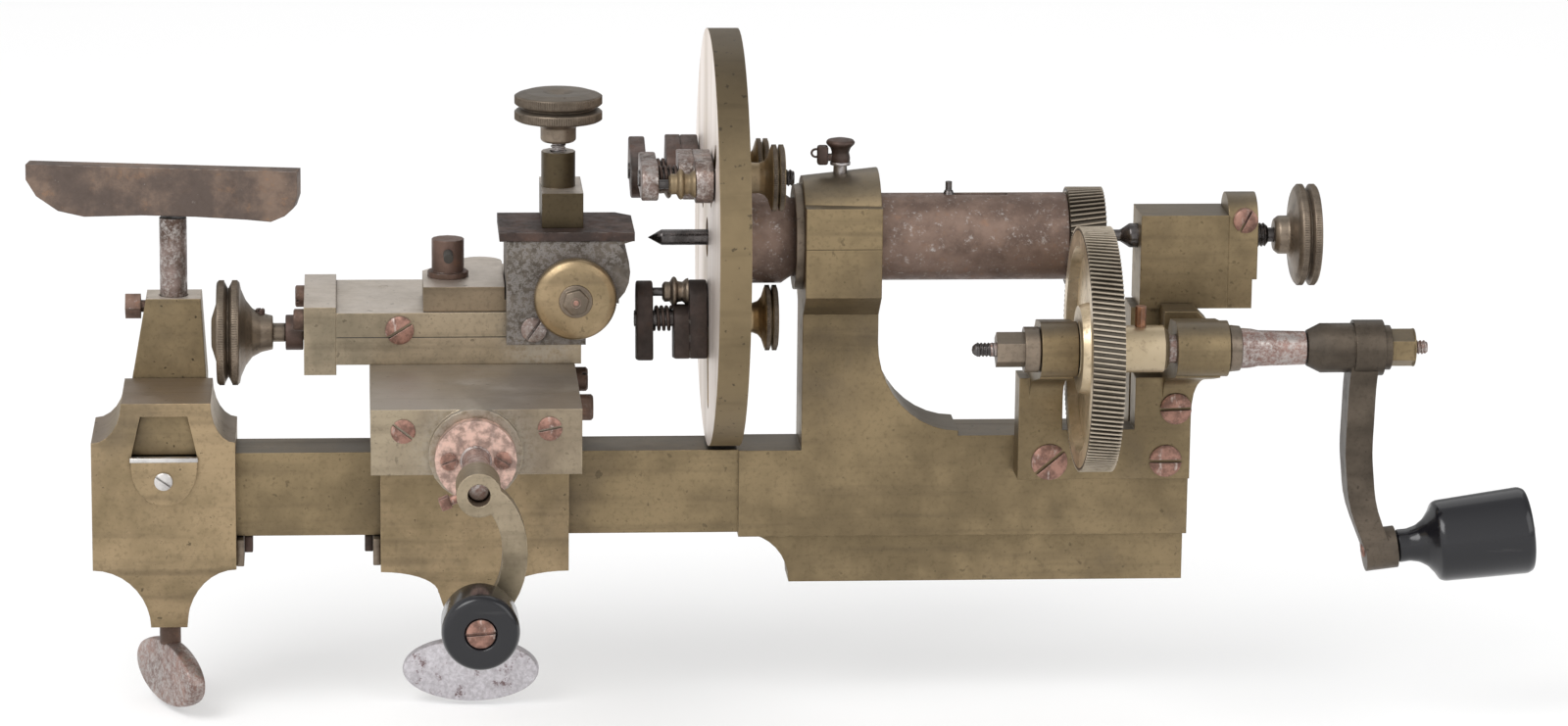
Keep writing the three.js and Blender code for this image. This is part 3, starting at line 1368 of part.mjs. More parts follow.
function frontKnobBody() {
  const k = frontKnob;
  return turnedY([
    [-k.rimEnd - k.dome - k.bossOut, 0], [-k.rimEnd - k.dome - k.bossOut, k.boss - k.bossOut],
    [-k.rimEnd - k.dome, k.boss],
    [-k.rimEnd, k.radius - k.dome], [-k.rimEnd + k.dome / 2, k.radius], [-k.hubEnd, k.radius],
    [-k.hubEnd + k.dome / 2, k.hub], [-head.front - gap.rest, k.hub], [-head.front - gap.rest, k.stud],
    [-head.front + k.studDepth - gap.rest, k.stud], [-head.front + k.studDepth - gap.rest, 0],
  ], k.x, k.z);
}

function tommyScrew() {
  const t = tommy;
  const low = carriage.plateTop;
  const body = turnedZ([
    [bar.top + gap.rest, 0], [bar.top + gap.rest, t.shank], [low, t.shank], [low, t.washer],
    [low + t.washerThick, t.washer],
    [low + t.washerThick, t.head], [t.top, t.head], [t.top, 0],
  ], t.x, -t.y, sides.small);
  const hole = rodY(-t.y - t.washer, -t.y + t.washer, t.hole, t.x, t.top - t.holeDown, sides.screw);
  return cut(body, hole);
}

// The head.
add('bed_casting', bedCasting(), brass);
add('bearing_cap', bearingCap(), brass);
add('bearing_bush', bearingBush(), darkBrass);
add('oiler', oilCup(), darkBrass);
add('spindle', spindleBody(), rust);
add('pinion', pinionGear(), darkBrass);
add('pump_centre', pumpCentre(), steel);
add('faceplate', faceplate(), brass);

// The dogs.
const dogNames = ['low', 'near', 'far'];
dogNames.forEach((name, i) => {
  const frame = dogFrame(dog.angles[i], dog.reaches[i], dog.swivels[i]);
  add(`dog_${name}_base`, dogBase(frame), rust);
  add(`dog_${name}_strap`, dogStrap(frame), rust);
  add(`dog_${name}_bolt`, dogBolt(frame), steel);
  add(`dog_${name}_spring`, dogSpring(frame), steel);
  add(`dog_${name}_nut`, dogNut(frame), brass);
});

// The tail and the crank.
add('tail_block', tailBlock(), brass);
add('tail_cap', tailCap(), brass);
add('tail_screw', tailScrewBody(), rust);
add('tail_knob', tailKnobBody(), darkBrass);
add('crank_bracket', crankBracket(), brass);
add('crank_shaft', crankShaft(), steel);
add(
  'shaft_nut',
  flatNut(shaftNut.left, shaftNut.right, shaftNut.radius, shaftNut.washerRight, shaftNut.washer), brass,
);
add('drive_wheel', driveWheel(), brass);
add('wheel_pin', wheelPinBody(), copper);
add('crank_arm', crankArm(), darkBrass);
add(
  'crank_nut',
  flatNut(arm.ringRight + gap.slide, crankNut.right, crankNut.radius, crankNut.right, crankNut.radius),
  brass,
);
add('crank_handle', crankHandle(), black);

// The tee rest.
add('rest_saddle', restSaddleBody(), brass);
add('rest_stop_plate', restStopPlate(), brass);
add('rest_thumb_screw', thumbScrew(restCentre, restSaddle.noseLow, thumb.restDegrees), rust);
add('rest_shoe', restShoe(), brass);
add('socket_screw', socketScrewBody(), rust);
add('rest_post', restPost(), rust);
add('rest_blade', restBlade(), rust);

// The slide rest.
add('slide_saddle', slideSaddleBody(), brass);
add('slide_thumb_screw', thumbScrew(axis.crossX, slideSaddle.noseLow, thumb.slideDegrees), steel);
add('cross_slide', crossSlideBody(), brass);
add('retaining_disc', retainingDisc(), copper);
add('cross_screw', crossScrewBody(), steel);
add('cross_crank', crossCrank(), darkBrass);
add('cross_handle', crossHandleBody(), black);
add('slide_bar', slideBar(), brass);
add('end_plate', endPlateBody(), brass);
add('feed_screw', feedScrew(), darkBrass);
add('tool_carriage', toolCarriage(), brass);
add('tool_head', toolHead(), brass);
add('clamp_plate', clampPlateBody(), rust);
add('tool_post', toolPostBody(), brass);
add('top_knob', topKnobBody(), darkBrass);
add('front_knob', frontKnobBody(), brass);
add('tommy_screw', tommyScrew(), rust);

console.log(`least gap between the curls of a spring: ${springGap().toFixed(2)} mm`);

export default pieces;
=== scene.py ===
"""Looks of a watchmaker's mandrel, built round its CAD frame: finishes, knurls, screws, threads, springs."""

import math

import bmesh
import bpy
from mathutils import Matrix, Vector


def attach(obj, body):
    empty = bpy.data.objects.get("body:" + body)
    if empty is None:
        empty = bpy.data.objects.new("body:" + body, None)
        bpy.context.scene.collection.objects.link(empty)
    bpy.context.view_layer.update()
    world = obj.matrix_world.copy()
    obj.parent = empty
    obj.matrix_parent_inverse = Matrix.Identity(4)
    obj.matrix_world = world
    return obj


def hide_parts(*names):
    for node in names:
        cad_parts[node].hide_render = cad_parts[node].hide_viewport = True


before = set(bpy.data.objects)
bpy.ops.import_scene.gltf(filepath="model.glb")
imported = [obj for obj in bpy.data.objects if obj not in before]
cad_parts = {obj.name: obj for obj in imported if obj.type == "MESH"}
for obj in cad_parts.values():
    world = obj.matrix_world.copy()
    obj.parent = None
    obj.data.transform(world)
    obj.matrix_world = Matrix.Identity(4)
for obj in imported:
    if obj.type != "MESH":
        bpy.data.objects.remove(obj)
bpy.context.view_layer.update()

bl_info = {
    "name": "Watchmaker's mandrel",
    "version": (1, 0, 0),
    "blender": (4, 5, 0),
    "location": "View3D > Sidebar > Mandrel",
    "description": "Dresses the CAD frame of a hand-cranked watchmaker's mandrel",
    "category": "Object",
}

MM = 0.001
# Places and sizes in millimetres, as in the CAD. The crank's and feed screw's axes are given by Y and Z.
SPINDLE_Z, PLATE_RADIUS = 89.0, 53.0
CRANK, CRANK_THROW = (-36.7, 67.7), 52.0
CRANK_EYE_X, CRANK_TILT = 96.85, 7.0
WHEEL_PITCH_RADIUS, PINION_PITCH_RADIUS = 30.31, 12.12
FEED = (9.0, 62.8)
# The cross screw's axis is given by X and Z.
CROSS, CROSS_THROW = (-131.4, 47.3), 28.8
REST_X, TOP_X, PUMP_PIN_X, OILER_X = -208.1, -109.2, -10.1, -37.8
FRONT_X, FRONT_Z = -105.6, 77.8
THUMB_PLATE_Z = -24.0
TOMMY_HOLE = (-137.0, -3.5, 85.0)
# Each dog: the angle of its slot, how far out it stands, how far it is swivelled and where its bolt ends.
DOGS = {
    "low": (-78.6, 20.5, 0.0, -53.5), "near": (41.4, 29.7, 137.0, -51.2), "far": (161.4, 34.0, 0.0, -52.0)
}
# The finishes of a dog's base, strap and acorn nut.
DOG_FINISHES = {
    "dog_low": ("black_rust", "black_rust", "bronze"), "dog_near": ("silver_rust", "silver_rust", "turned"),
    "dog_far": ("dark_rust", "dark_rust", "bronze"),
}
X_AXIS, Y_AXIS, Z_AXIS = Vector((1, 0, 0)), Vector((0, 1, 0)), Vector((0, 0, 1))


# Shader maths.
class Val:
    """A socket of a finish's node tree that can stand in an expression."""

    def __init__(self, finish, socket):
        self.finish = finish
        self.socket = socket

    def maths(self, operation, first, second):
        return self.finish.node("ShaderNodeMath", {"operation": operation}, {0: first, 1: second})

    def __add__(self, other):
        return self.maths("ADD", self, other)

    __radd__ = __add__

    def __sub__(self, other):
        return self.maths("SUBTRACT", self, other)

    def __rsub__(self, other):
        return self.maths("SUBTRACT", other, self)

    def __mul__(self, other):
        return self.maths("MULTIPLY", self, other)

    __rmul__ = __mul__

    def __pow__(self, other):
        return self.maths("POWER", self, other)

    def band(self, low, high):
        """0 below low, 1 above high, smooth between."""
        values = {"Value": self, "From Min": low, "From Max": high}
        return self.finish.node("ShaderNodeMapRange", {"interpolation_type": "SMOOTHSTEP"}, values)


class Finish:
    """One procedural material."""

    def __init__(self, name, owner=None):
        self.material = owner or bpy.data.materials.new(name)
        self.material.use_nodes = True
        self.tree = self.material.node_tree
        self.tree.nodes.clear()
        self.place = self.node("ShaderNodeTexCoord", out="Generated" if owner else "Object")

    def node(self, kind, settings=None, values=None, out=0):
        made = self.tree.nodes.new(kind)
        for key, value in (settings or {}).items():
            setattr(made, key, value)
        for key, value in (values or {}).items():
            if isinstance(value, Val):
                self.tree.links.new(value.socket, made.inputs[key])
            else:
                made.inputs[key].default_value = value
        return Val(self, made.outputs[out])

    def noise(self, scale, detail=3.0, roughness=0.55, stretch=None, where=None):
        spot = where or self.place
        if stretch:
            spot = self.node(
                "ShaderNodeMapping", {"vector_type": "POINT"}, {"Vector": spot, "Scale": stretch}
            )
        values = {"Vector": spot, "Scale": scale, "Detail": detail, "Roughness": roughness}
        return self.node("ShaderNodeTexNoise", None, values)

    def mix(self, factor, first, second):
        settings = {"data_type": "RGBA", "blend_type": "MIX", "clamp_factor": True}
        return self.node("ShaderNodeMix", settings, {0: factor, 6: rgba(first), 7: rgba(second)}, out=2)

    def along(self, index):
        return self.node("ShaderNodeSeparateXYZ", None, {0: self.place}, out=index)

    def edges(self, radius):
        """How far a spot lies on an edge, and the softened normal there."""
        soft = self.node("ShaderNodeBevel", {"samples": 4}, {"Radius": radius * MM})
        plain = self.node("ShaderNodeNewGeometry", out="Normal")
        turn = self.node(
            "ShaderNodeVectorMath", {"operation": "DOT_PRODUCT"}, {0: soft, 1: plain}, out="Value"
        )
        return (1.0 - turn).band(0.004, 0.12), soft

    def corners(self, distance):
        """How far a spot is shut in by its neighbours."""
        values = {"Distance": distance * MM}
        return 1.0 - self.node("ShaderNodeAmbientOcclusion", {"samples": 4}, values, out="AO")

    def shaded_and_soiled(self, colour, distance, reach, share, dirt):
        """The colour darkened where its neighbours shut it in: painted shade in the corners, with grime."""
        return self.mix(self.corners(distance).band(*reach) * share, colour, dirt)

    def upward(self):
        normal = self.node("ShaderNodeNewGeometry", out="Normal")
        return self.node("ShaderNodeSeparateXYZ", None, {0: normal}, out=2).band(0.5, 0.95)

    def done(
        self, colour, rough, metal, height=None, bump=0.3, depth=0.1, normal=None, coat=0.0, specular=0.5,
        glow=0.0
    ):
        if height is not None:
            values = {"Height": height, "Strength": bump, "Distance": depth * MM}
            if normal is not None:
                values["Normal"] = normal
            normal = self.node("ShaderNodeBump", None, values)
        values = {"Base Color": rgba(colour), "Roughness": rough, "Metallic": metal}
        values["Specular IOR Level"] = specular
        if glow:
            values["Emission Color"] = (1.0, 1.0, 1.0, 1.0)
            values["Emission Strength"] = glow
        if normal is not None:
            values["Normal"] = normal
        if coat:
            values["Coat Weight"] = coat
            values["Coat Roughness"] = 0.06
        shader = self.node("ShaderNodeBsdfPrincipled", None, values)
        self.node_out(shader)
        return self.material

    def node_out(self, shader, kind="ShaderNodeOutputMaterial"):
        made = self.tree.nodes.new(kind)
        self.tree.links.new(shader.socket, made.inputs["Surface"])


def rgba(colour):
    if isinstance(colour, Val):
        return colour
    return (*tuple(colour)[:3], 1.0)


def aged_brass(name, light, dark, grime_and_shade, spots=0.5, top=None, rough=0.42, halos=()):
    """Old uncleaned brass: softly cloudy, streaked, brighter along its edges with wear and a painted
    highlight, darkened in its corners with painted shade and grime, and tinted on its upward faces with dust
    and painted top light and shade.
    """
    f = Finish(name)
    clouds = f.noise(30.0, 4.0) * 0.7 + f.noise(140.0, 5.0, 0.6) * 0.3
    colour = f.mix(clouds.band(0.38, 0.64), [c * 0.9 for c in dark], [c * 1.06 for c in light])
    fine = f.noise(900.0, 4.0, 0.65)
    colour = f.mix(fine.band(0.5, 0.66) * 0.3, colour, [c * 0.55 for c in dark])
    streaks = f.noise(240.0, 3.0, 0.6, stretch=(0.06, 1.0, 1.0))
    colour = f.mix(streaks.band(0.48, 0.74) * 0.32, colour, grime_and_shade)
    stains = f.noise(24.0, 5.0, 0.6)
    colour = f.mix(stains.band(0.5, 0.74) * 0.42, colour, grime_and_shade)
    # Upward faces take a set colour: dust, with painted light and shade on the tops.
    if top:
        dust = f.noise(160.0, 6.0, 0.7).band(0.25, 0.7) * 0.35 + 0.65
        colour = f.mix(dust * f.upward() * top[1], colour, top[0])
    for x, y, z, reach in halos:
        gap = f.node(
            "ShaderNodeVectorMath", {"operation": "DISTANCE"}, {0: f.place, 1: Vector((x, y, z)) * MM},
            out="Value"
        )
        ring = 1.0 - (gap + f.noise(300.0, 5.0, 0.7) * 0.004).band(reach * 0.75 * MM, reach * 1.9 * MM)
        colour = f.mix(ring * f.noise(700.0, 5.0, 0.7).band(0.3, 0.6) * 0.55, colour, (0.5, 0.46, 0.4))
    specks = f.noise(560.0, 2.0, 0.5)
    colour = f.mix(specks.band(0.68, 0.73) * spots, colour, [c * 0.35 for c in grime_and_shade])
    # Lighter edges: wear, with a painted highlight.
    edge, soft = f.edges(0.45)
    worn = edge * f.noise(330.0, 4.0).band(0.35, 0.62)
    colour = f.mix(worn * 0.5, colour, [min(1.0, c * 1.6) for c in light])
    # Painted shade in the corners, with grime.
    colour = f.shaded_and_soiled(colour, 3.5, (0.35, 0.95), 0.7, [c * 0.4 for c in grime_and_shade])
    roughness = rough + stains.band(0.45, 0.7) * 0.14 + streaks.band(0.5, 0.74) * 0.08 - worn * 0.1
    metal = 0.9 - stains.band(0.55, 0.7) * 0.25
    height = f.noise(500.0, 4.0, 0.55) * 0.5 + streaks * 0.35 - specks.band(0.66, 0.73) * 0.8
    return f.done(colour, roughness, metal, height, 0.22, 0.04, soft)


def rusty_steel(
    name, silver=0.35, brown=(0.205, 0.13, 0.1), rough=0.5, bloom_share=0.5, shade=(0.075, 0.045, 0.032)
):
    """Steel under brown rust, with orange bloom and bare glints."""
    f = Finish(name)
    clouds = f.noise(70.0, 8.0, 0.68)
    bloom = f.noise(380.0, 6.0, 0.7)
    colour = f.mix(clouds.band(0.38, 0.64), shade, brown)
    rusty = [brown[0] * 1.6, brown[1] * 1.3, brown[2]]
    colour = f.mix(bloom.band(0.54, 0.7) * clouds.band(0.4, 0.6) * bloom_share, colour, rusty)
    bare = f.noise(420.0, 8.0, 0.72) * 0.6 + f.noise(1500.0, 4.0, 0.7) * 0.4
    bare = bare.band(0.66 - 0.3 * silver, 0.76 - 0.2 * silver)
    edge, soft = f.edges(0.4)
    bare = bare * 0.8 + edge * f.noise(500.0, 3.0).band(0.42, 0.6) * 0.3
    colour = f.mix(bare, colour, (0.44, 0.41, 0.39))
    # Painted shade in the corners, with grime.
    colour = f.shaded_and_soiled(colour, 3.0, (0.4, 0.95), 0.65, (0.03, 0.02, 0.015))
    roughness = rough + bloom.band(0.4, 0.7) * 0.2 - bare * 0.2
    height = bloom * 0.7 + f.noise(1100.0, 4.0, 0.7) * 0.4
    return f.done(colour, roughness, 0.55 + bare * 0.4, height, 0.4, 0.07, soft)


def slotted_copper(name, light=(0.36, 0.17, 0.125), scuffed=0.55):
    """Screw heads gone coppery red, with silver scuffs."""
    f = Finish(name)
    clouds = f.noise(380.0, 6.0, 0.65)
    colour = f.mix(clouds.band(0.36, 0.64), [c * 0.42 for c in light], light)
    scuffs = f.noise(520.0, 6.0, 0.68, stretch=(1.0, 1.0, 0.35)).band(0.55, 0.7)
    edge, soft = f.edges(0.3)
    colour = f.mix(scuffs * scuffed + edge * 0.25, colour, (0.55, 0.47, 0.43))
    # Painted shade in the corners, with grime.
    colour = f.shaded_and_soiled(colour, 1.6, (0.35, 0.9), 0.8, (0.035, 0.02, 0.015))
    return f.done(colour, 0.42 + clouds * 0.2, 0.75, clouds + scuffs * 0.4, 0.35, 0.04, soft)


def bright_steel(name, rust=0.4, light=(0.5, 0.475, 0.47), dark=(0.24, 0.22, 0.215), rough=0.3):
    """Worn bare steel with pits and rust spots."""
    f = Finish(name)
    clouds = f.noise(150.0, 5.0, 0.6)
    colour = f.mix(clouds.band(0.35, 0.65), dark, light)
    pits = f.noise(560.0, 6.0, 0.7)
    colour = f.mix(pits.band(0.56, 0.66) * rust * 1.4, colour, (0.13, 0.065, 0.045))
    edge, soft = f.edges(0.3)
    # Painted shade in the corners, with grime.
    colour = f.shaded_and_soiled(colour, 2.0, (0.35, 0.9), 0.7, (0.04, 0.03, 0.025))
    roughness = rough + pits.band(0.45, 0.66) * 0.25
    return f.done(colour, roughness, 0.95 - pits.band(0.56, 0.66) * 0.5, pits, 0.25, 0.05, soft)


def mottled_silver(name):
    """Pale steel blotched with purple-brown rust."""
    f = Finish(name)
    blotches = f.noise(170.0, 10.0, 0.78)
    fine = f.noise(900.0, 6.0, 0.7)
    colour = f.mix(fine.band(0.35, 0.65), (0.42, 0.4, 0.42), (0.62, 0.6, 0.63))
    colour = f.mix(blotches.band(0.54, 0.6) * fine.band(0.38, 0.5), colour, (0.12, 0.06, 0.06))
    colour = f.mix(blotches.band(0.35, 0.5) * 0.25, colour, (0.3, 0.27, 0.28))
    edge, soft = f.edges(0.3)
    return f.done(colour, 0.5 + fine * 0.2, 0.6, blotches + fine * 0.4, 0.3, 0.05, soft)


def black_gloss(name):
    """Polished black handle with scuffs and dust."""
    f = Finish(name)
    dust = f.noise(800.0, 6.0, 0.75).band(0.64, 0.8)
    scratches = f.noise(500.0, 3.0, 0.6, stretch=(0.1, 1.0, 1.0)).band(0.66, 0.78)
    edge, soft = f.edges(0.4)
    worn = edge * f.noise(600.0, 4.0).band(0.45, 0.62)
    colour = f.mix(dust * 0.08 + scratches * 0.05 + worn * 0.22, (0.006, 0.006, 0.008), (0.2, 0.19, 0.18))
    return f.done(
        colour, 0.2 + dust * 0.2 + scratches * 0.12, 0.0, scratches, 0.08, 0.02, soft, coat=0.15,
        specular=0.4
    )


def wheel_brass(name, light, dark, y, z, pitch_radius):
    """The gears' brass, with painted shade black down between the teeth, and ringed by the lathe on its
    faces.
    """
    f = Finish(name)
    across, up = f.along(1) - y * MM, f.along(2) - z * MM
    radius = (across * across + up * up) ** 0.5
    clouds = f.noise(70.0, 5.0, 0.6)
    colour = f.mix(clouds.band(0.36, 0.64), dark, light)
    rings = f.noise(1.0, 3.0, 0.6, where=f.node("ShaderNodeCombineXYZ", None, {0: radius * 700.0}))
    colour = f.mix(rings.band(0.45, 0.7) * 0.2, colour, [c * 0.5 for c in dark])
    hub = 1.0 - radius.band(pitch_radius * 0.34 * MM, pitch_radius * 0.38 * MM)
    colour = f.mix(hub * 0.8, colour, [c * 0.8 for c in dark])
    # Painted shade: a near-black ring down between the teeth.
    groove = 1.0 - radius.band((pitch_radius - 0.34) * MM, (pitch_radius + 0.2) * MM)
    rim = radius.band((pitch_radius - 0.75) * MM, (pitch_radius - 0.6) * MM)
    colour = f.mix(rim * 0.6, colour, (0.26, 0.235, 0.21))
    colour = f.mix(groove * rim * 0.8, colour, (0.02, 0.017, 0.014))
    dirt = f.noise(420.0, 6.0, 0.7).band(0.52, 0.66)
    colour = f.mix(dirt * 0.3, colour, (0.07, 0.055, 0.04))
    edge, soft = f.edges(0.15)
    # Painted shade in the corners, with grime.
    colour = f.shaded_and_soiled(colour, 3.0, (0.4, 0.95), 0.5, (0.03, 0.025, 0.02))
    return f.done(colour, 0.38 + dirt * 0.2, 0.88, rings * 0.4 + dirt * 0.3, 0.25, 0.04, soft)


def plate_brass(name, light, dark, rim):
    """The faceplate: a bright turned front with soft streaks, whitened further as a painted reflection, and a
    brown rim darkened towards the top as painted shade.
    """
    f = Finish(name)
    up = f.along(2) - SPINDLE_Z * MM
    radius = (f.along(1) * f.along(1) + up * up) ** 0.5
    rings = f.noise(1.0, 4.0, 0.6, where=f.node("ShaderNodeCombineXYZ", None, {0: radius * 500.0}))
    clouds = f.noise(60.0, 6.0, 0.6)
    colour = f.mix(clouds.band(0.36, 0.64), dark, light)
    colour = f.mix(rings.band(0.42, 0.68) * 0.3, colour, [c * 0.8 for c in dark])
    edge, soft = f.edges(0.35)
    # The front face, facing -X, is mixed to near white: turned polish with a painted reflection.
    normal = f.node("ShaderNodeNewGeometry", out="Normal")
    ahead = (0.0 - f.node("ShaderNodeSeparateXYZ", None, {0: normal}, out=0)).band(0.6, 0.95)
    upright = f.noise(90.0, 4.0, 0.6, stretch=(1.0, 1.0, 0.12)).band(0.3, 0.62)
    colour = f.mix(ahead * (0.45 + upright * 0.45), colour, (0.96, 0.88, 0.83))
    outer = radius.band((PLATE_RADIUS - 0.7) * MM, (PLATE_RADIUS - 0.3) * MM) * (1.0 - ahead)
    patches = f.noise(45.0, 6.0, 0.65).band(0.36, 0.64)
    streaks = f.noise(300.0, 3.0, 0.6, stretch=(0.08, 1.0, 1.0)).band(0.5, 0.72)
    brown = f.mix(patches, [c * 1.25 for c in rim], rim)
    brown = f.mix(streaks * 0.3, brown, [c * 0.6 for c in rim])
    specks = f.noise(520.0, 2.0, 0.5).band(0.66, 0.72)
    brown = f.mix(specks * 0.6, brown, (0.03, 0.024, 0.02))
    # Painted shade: the rim darkens towards the top.
    brown = f.mix(f.along(2).band(95.0 * MM, 140.0 * MM) * 0.5, brown, (0.03, 0.024, 0.018))
    colour = f.mix(outer, colour, brown)
    # Lighter edges: wear, with a painted highlight.
    colour = f.mix(edge * 0.35, colour, [min(1.0, c * 1.3) for c in light])
    # Painted shade in the corners, with grime.
    colour = f.shaded_and_soiled(colour, 4.0, (0.4, 0.95), 0.6, (0.05, 0.035, 0.02))
    return f.done(colour, 0.4 + clouds * 0.14, 0.88, rings * 0.5 + clouds * 0.2, 0.2, 0.04, soft)


def greasy_grey(name):
    """The tool head's brass under dry grey grease."""
    f = Finish(name)
    lumps = f.noise(120.0, 8.0, 0.7)
    grains = f.noise(1100.0, 4.0, 0.7)
    gritty = f.noise(40.0, 3.0).band(0.4, 0.56)
    colour = f.mix(lumps.band(0.38, 0.62), (0.075, 0.062, 0.048), (0.145, 0.122, 0.1))
    colour = f.mix(grains.band(0.42, 0.6) * (0.2 + gritty * 0.55), colour, (0.28, 0.26, 0.245))
    colour = f.mix(grains.band(0.58, 0.66) * gritty * 0.6, colour, (0.06, 0.05, 0.045))
    edge, soft = f.edges(0.5)
    colour = f.mix(edge * lumps.band(0.4, 0.6) * 0.4, colour, (0.34, 0.27, 0.17))
    # Painted shade in the corners, with grime.
    colour = f.shaded_and_soiled(colour, 4.0, (0.4, 0.95), 0.6, (0.035, 0.03, 0.025))
    return f.done(colour, 0.52 + grains * 0.25, 0.5, lumps * 0.8 + grains * 0.6, 0.5, 0.1, soft)


def plain(name, colour, rough, metal):
    """One flat colour, for seams."""
    return Finish(name).done(colour, rough, metal)


FINISHES = {}


def make_finishes(sizes):
    brass, pale, dark = tuple(sizes.brass), tuple(sizes.pale_brass), tuple(sizes.dark_brass)
    shade = tuple(c * 0.72 for c in brass)
    # Grime colour, also the base of the painted shade in the corners.
    grime_and_shade = (0.085, 0.066, 0.045)
    # Colours for upward faces: dust, with painted light and shade on the tops.
    grey_top = ((0.14, 0.122, 0.1), 0.75)
    pale_top = ((0.7, 0.63, 0.56), 0.85)
    slide_top = ((0.4, 0.36, 0.32), 0.9)
    saddle_top = ((0.27, 0.22, 0.18), 0.8)
    screws_there = [(-149.0, -60.6, 53.4, 3.0), (-113.2, -60.6, 53.9, 3.0), (-131.4, -62.2, 47.9, 11.0)]
    made = {
        "bed": aged_brass("bed_brass", brass, shade, grime_and_shade, 0.4, grey_top),
        "saddle": aged_brass("saddle_brass", pale, brass, grime_and_shade, 0.6, saddle_top),
        "slide": aged_brass(
            "slide_brass", (0.37, 0.3, 0.21), (0.24, 0.2, 0.14), grime_and_shade, 0.4, pale_top,
            halos=[(-114.0, -11.0, 66.0, 8.0)]
        ),
        "carriage": aged_brass(
            "carriage_brass", (0.24, 0.185, 0.125), (0.16, 0.125, 0.085), grime_and_shade, 0.4, pale_top
        ),
        "cross": aged_brass(
            "cross_brass", (0.35, 0.29, 0.205), (0.245, 0.195, 0.14), grime_and_shade, 0.3, slide_top,
            halos=screws_there
        ),
        "shoe": aged_brass("shoe_brass", brass, shade, grime_and_shade, 0.8, pale_top),
        "post": aged_brass(
            "post_brass", [c * 0.32 for c in brass], [c * 0.22 for c in brass], grime_and_shade, 0.3, pale_top
        ),
        "bronze": aged_brass(
            "dark_bronze", [c * 3.0 for c in dark], [c * 1.7 for c in dark], [c * 0.45 for c in dark], 0.4,
            grey_top
        ),
        "arm": aged_brass(
            "arm_bronze", [c * 1.4 for c in dark], [c * 0.8 for c in dark], [c * 0.4 for c in dark], 0.4
        ),
        "hand": aged_brass("hand_brass", (0.33, 0.27, 0.19), (0.22, 0.18, 0.12), grime_and_shade, 0.3, rough=0.36),
        "turned": aged_brass("turned_brass", pale, brass, grime_and_shade, 0.35, rough=0.34),
        "knurl": aged_brass(
            "knurled_rims", [c * 2.2 for c in dark], [c * 1.2 for c in dark], (0.02, 0.017, 0.014), 0.3
        ),
        "rust": rusty_steel("rusty_steel", 0.3),
        "dark_rust": rusty_steel("dark_rust", 0.12, (0.1, 0.062, 0.05), 0.45, 0.4, (0.04, 0.028, 0.022)),
        "black_rust": rusty_steel(
            "black_rust", 0.06, (0.05, 0.033, 0.027), 0.5, 0.3, (0.022, 0.015, 0.012)
        ),
        "silver_rust": rusty_steel("silver_rust", 0.7, (0.24, 0.18, 0.16), 0.4, 0.3),
        "tommy": rusty_steel("tommy_rust", 0.08, (0.13, 0.08, 0.062), 0.45),
        "barrel": rusty_steel("rusty_barrel", 0.42, (0.2, 0.135, 0.105), 0.48, 0.35, (0.11, 0.072, 0.056)),
        "blade": rusty_steel("rusty_blade", 0.2, (0.2, 0.14, 0.105), 0.52, 0.6, (0.095, 0.07, 0.058)),
        "clamp": rusty_steel("rusty_clamp", 0.14, (0.095, 0.058, 0.046), 0.55, 0.5, (0.04, 0.028, 0.024)),
        "shank": rusty_steel("rust_and_silver", 0.8, (0.3, 0.19, 0.16), 0.4, 0.4, (0.15, 0.09, 0.075)),
        "steel": bright_steel("bright_steel", 0.35),
        "silver": bright_steel("silver_steel", 0.1, (0.62, 0.6, 0.58), (0.4, 0.38, 0.37)),
        "dark_steel": bright_steel("dark_steel", 0.3, (0.13, 0.12, 0.118), (0.05, 0.045, 0.043), 0.24),
        "mottled": mottled_silver("mottled_silver"),
        "copper": slotted_copper("coppery_screws", (0.36, 0.2, 0.155), 0.8),
        "pink": slotted_copper("pink_copper", (0.72, 0.5, 0.42), 0.2),
        "pin": slotted_copper("orange_pin", (0.4, 0.2, 0.12), 0.15),
        "red": slotted_copper("red_washer", (0.2, 0.09, 0.075), 0.1), "black": black_gloss("black_gloss"),
        "wheel": wheel_brass(
            "wheel_brass", (0.82, 0.69, 0.51), (0.5, 0.4, 0.26), *CRANK, WHEEL_PITCH_RADIUS
        ),
        "pinion": wheel_brass("pinion_brass", pale, brass, 0.0, SPINDLE_Z, PINION_PITCH_RADIUS),
        "plate": plate_brass("faceplate_brass", [c * 1.2 for c in pale], pale, [c * 0.68 for c in brass]),
        "grease": greasy_grey("greasy_brass"), "line": plain("seam", (0.03, 0.025, 0.02), 0.8, 0.0),
    }
    FINISHES.update(made)


# Mesh helpers.
def turns(count):
    """Equal turns round a circle, in radians."""
    return [2 * math.pi * k / count for k in range(count)]


def new_object(name, mesh):
    made = bpy.data.objects.new(name, mesh)
    bpy.context.scene.collection.objects.link(made)
    return made


def keep(name, mesh, finish, body, nodes=(), smooth=34.0):
    """Makes a finished piece: shaded, painted, riding on its body, and standing for its CAD nodes."""
    mesh.name = name
    mesh.shade_smooth()
    mesh.set_sharp_from_angle(angle=math.radians(smooth))
    mesh.materials.clear()
    mesh.materials.append(FINISHES[finish])
    made = new_object(name, mesh)
    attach(made, body)
    if nodes:
        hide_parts(*nodes)


def mesh_of(work):
    """The finished mesh of a bmesh."""
    mesh = bpy.data.meshes.new("piece")
    work.to_mesh(mesh)
    work.free()
    return mesh


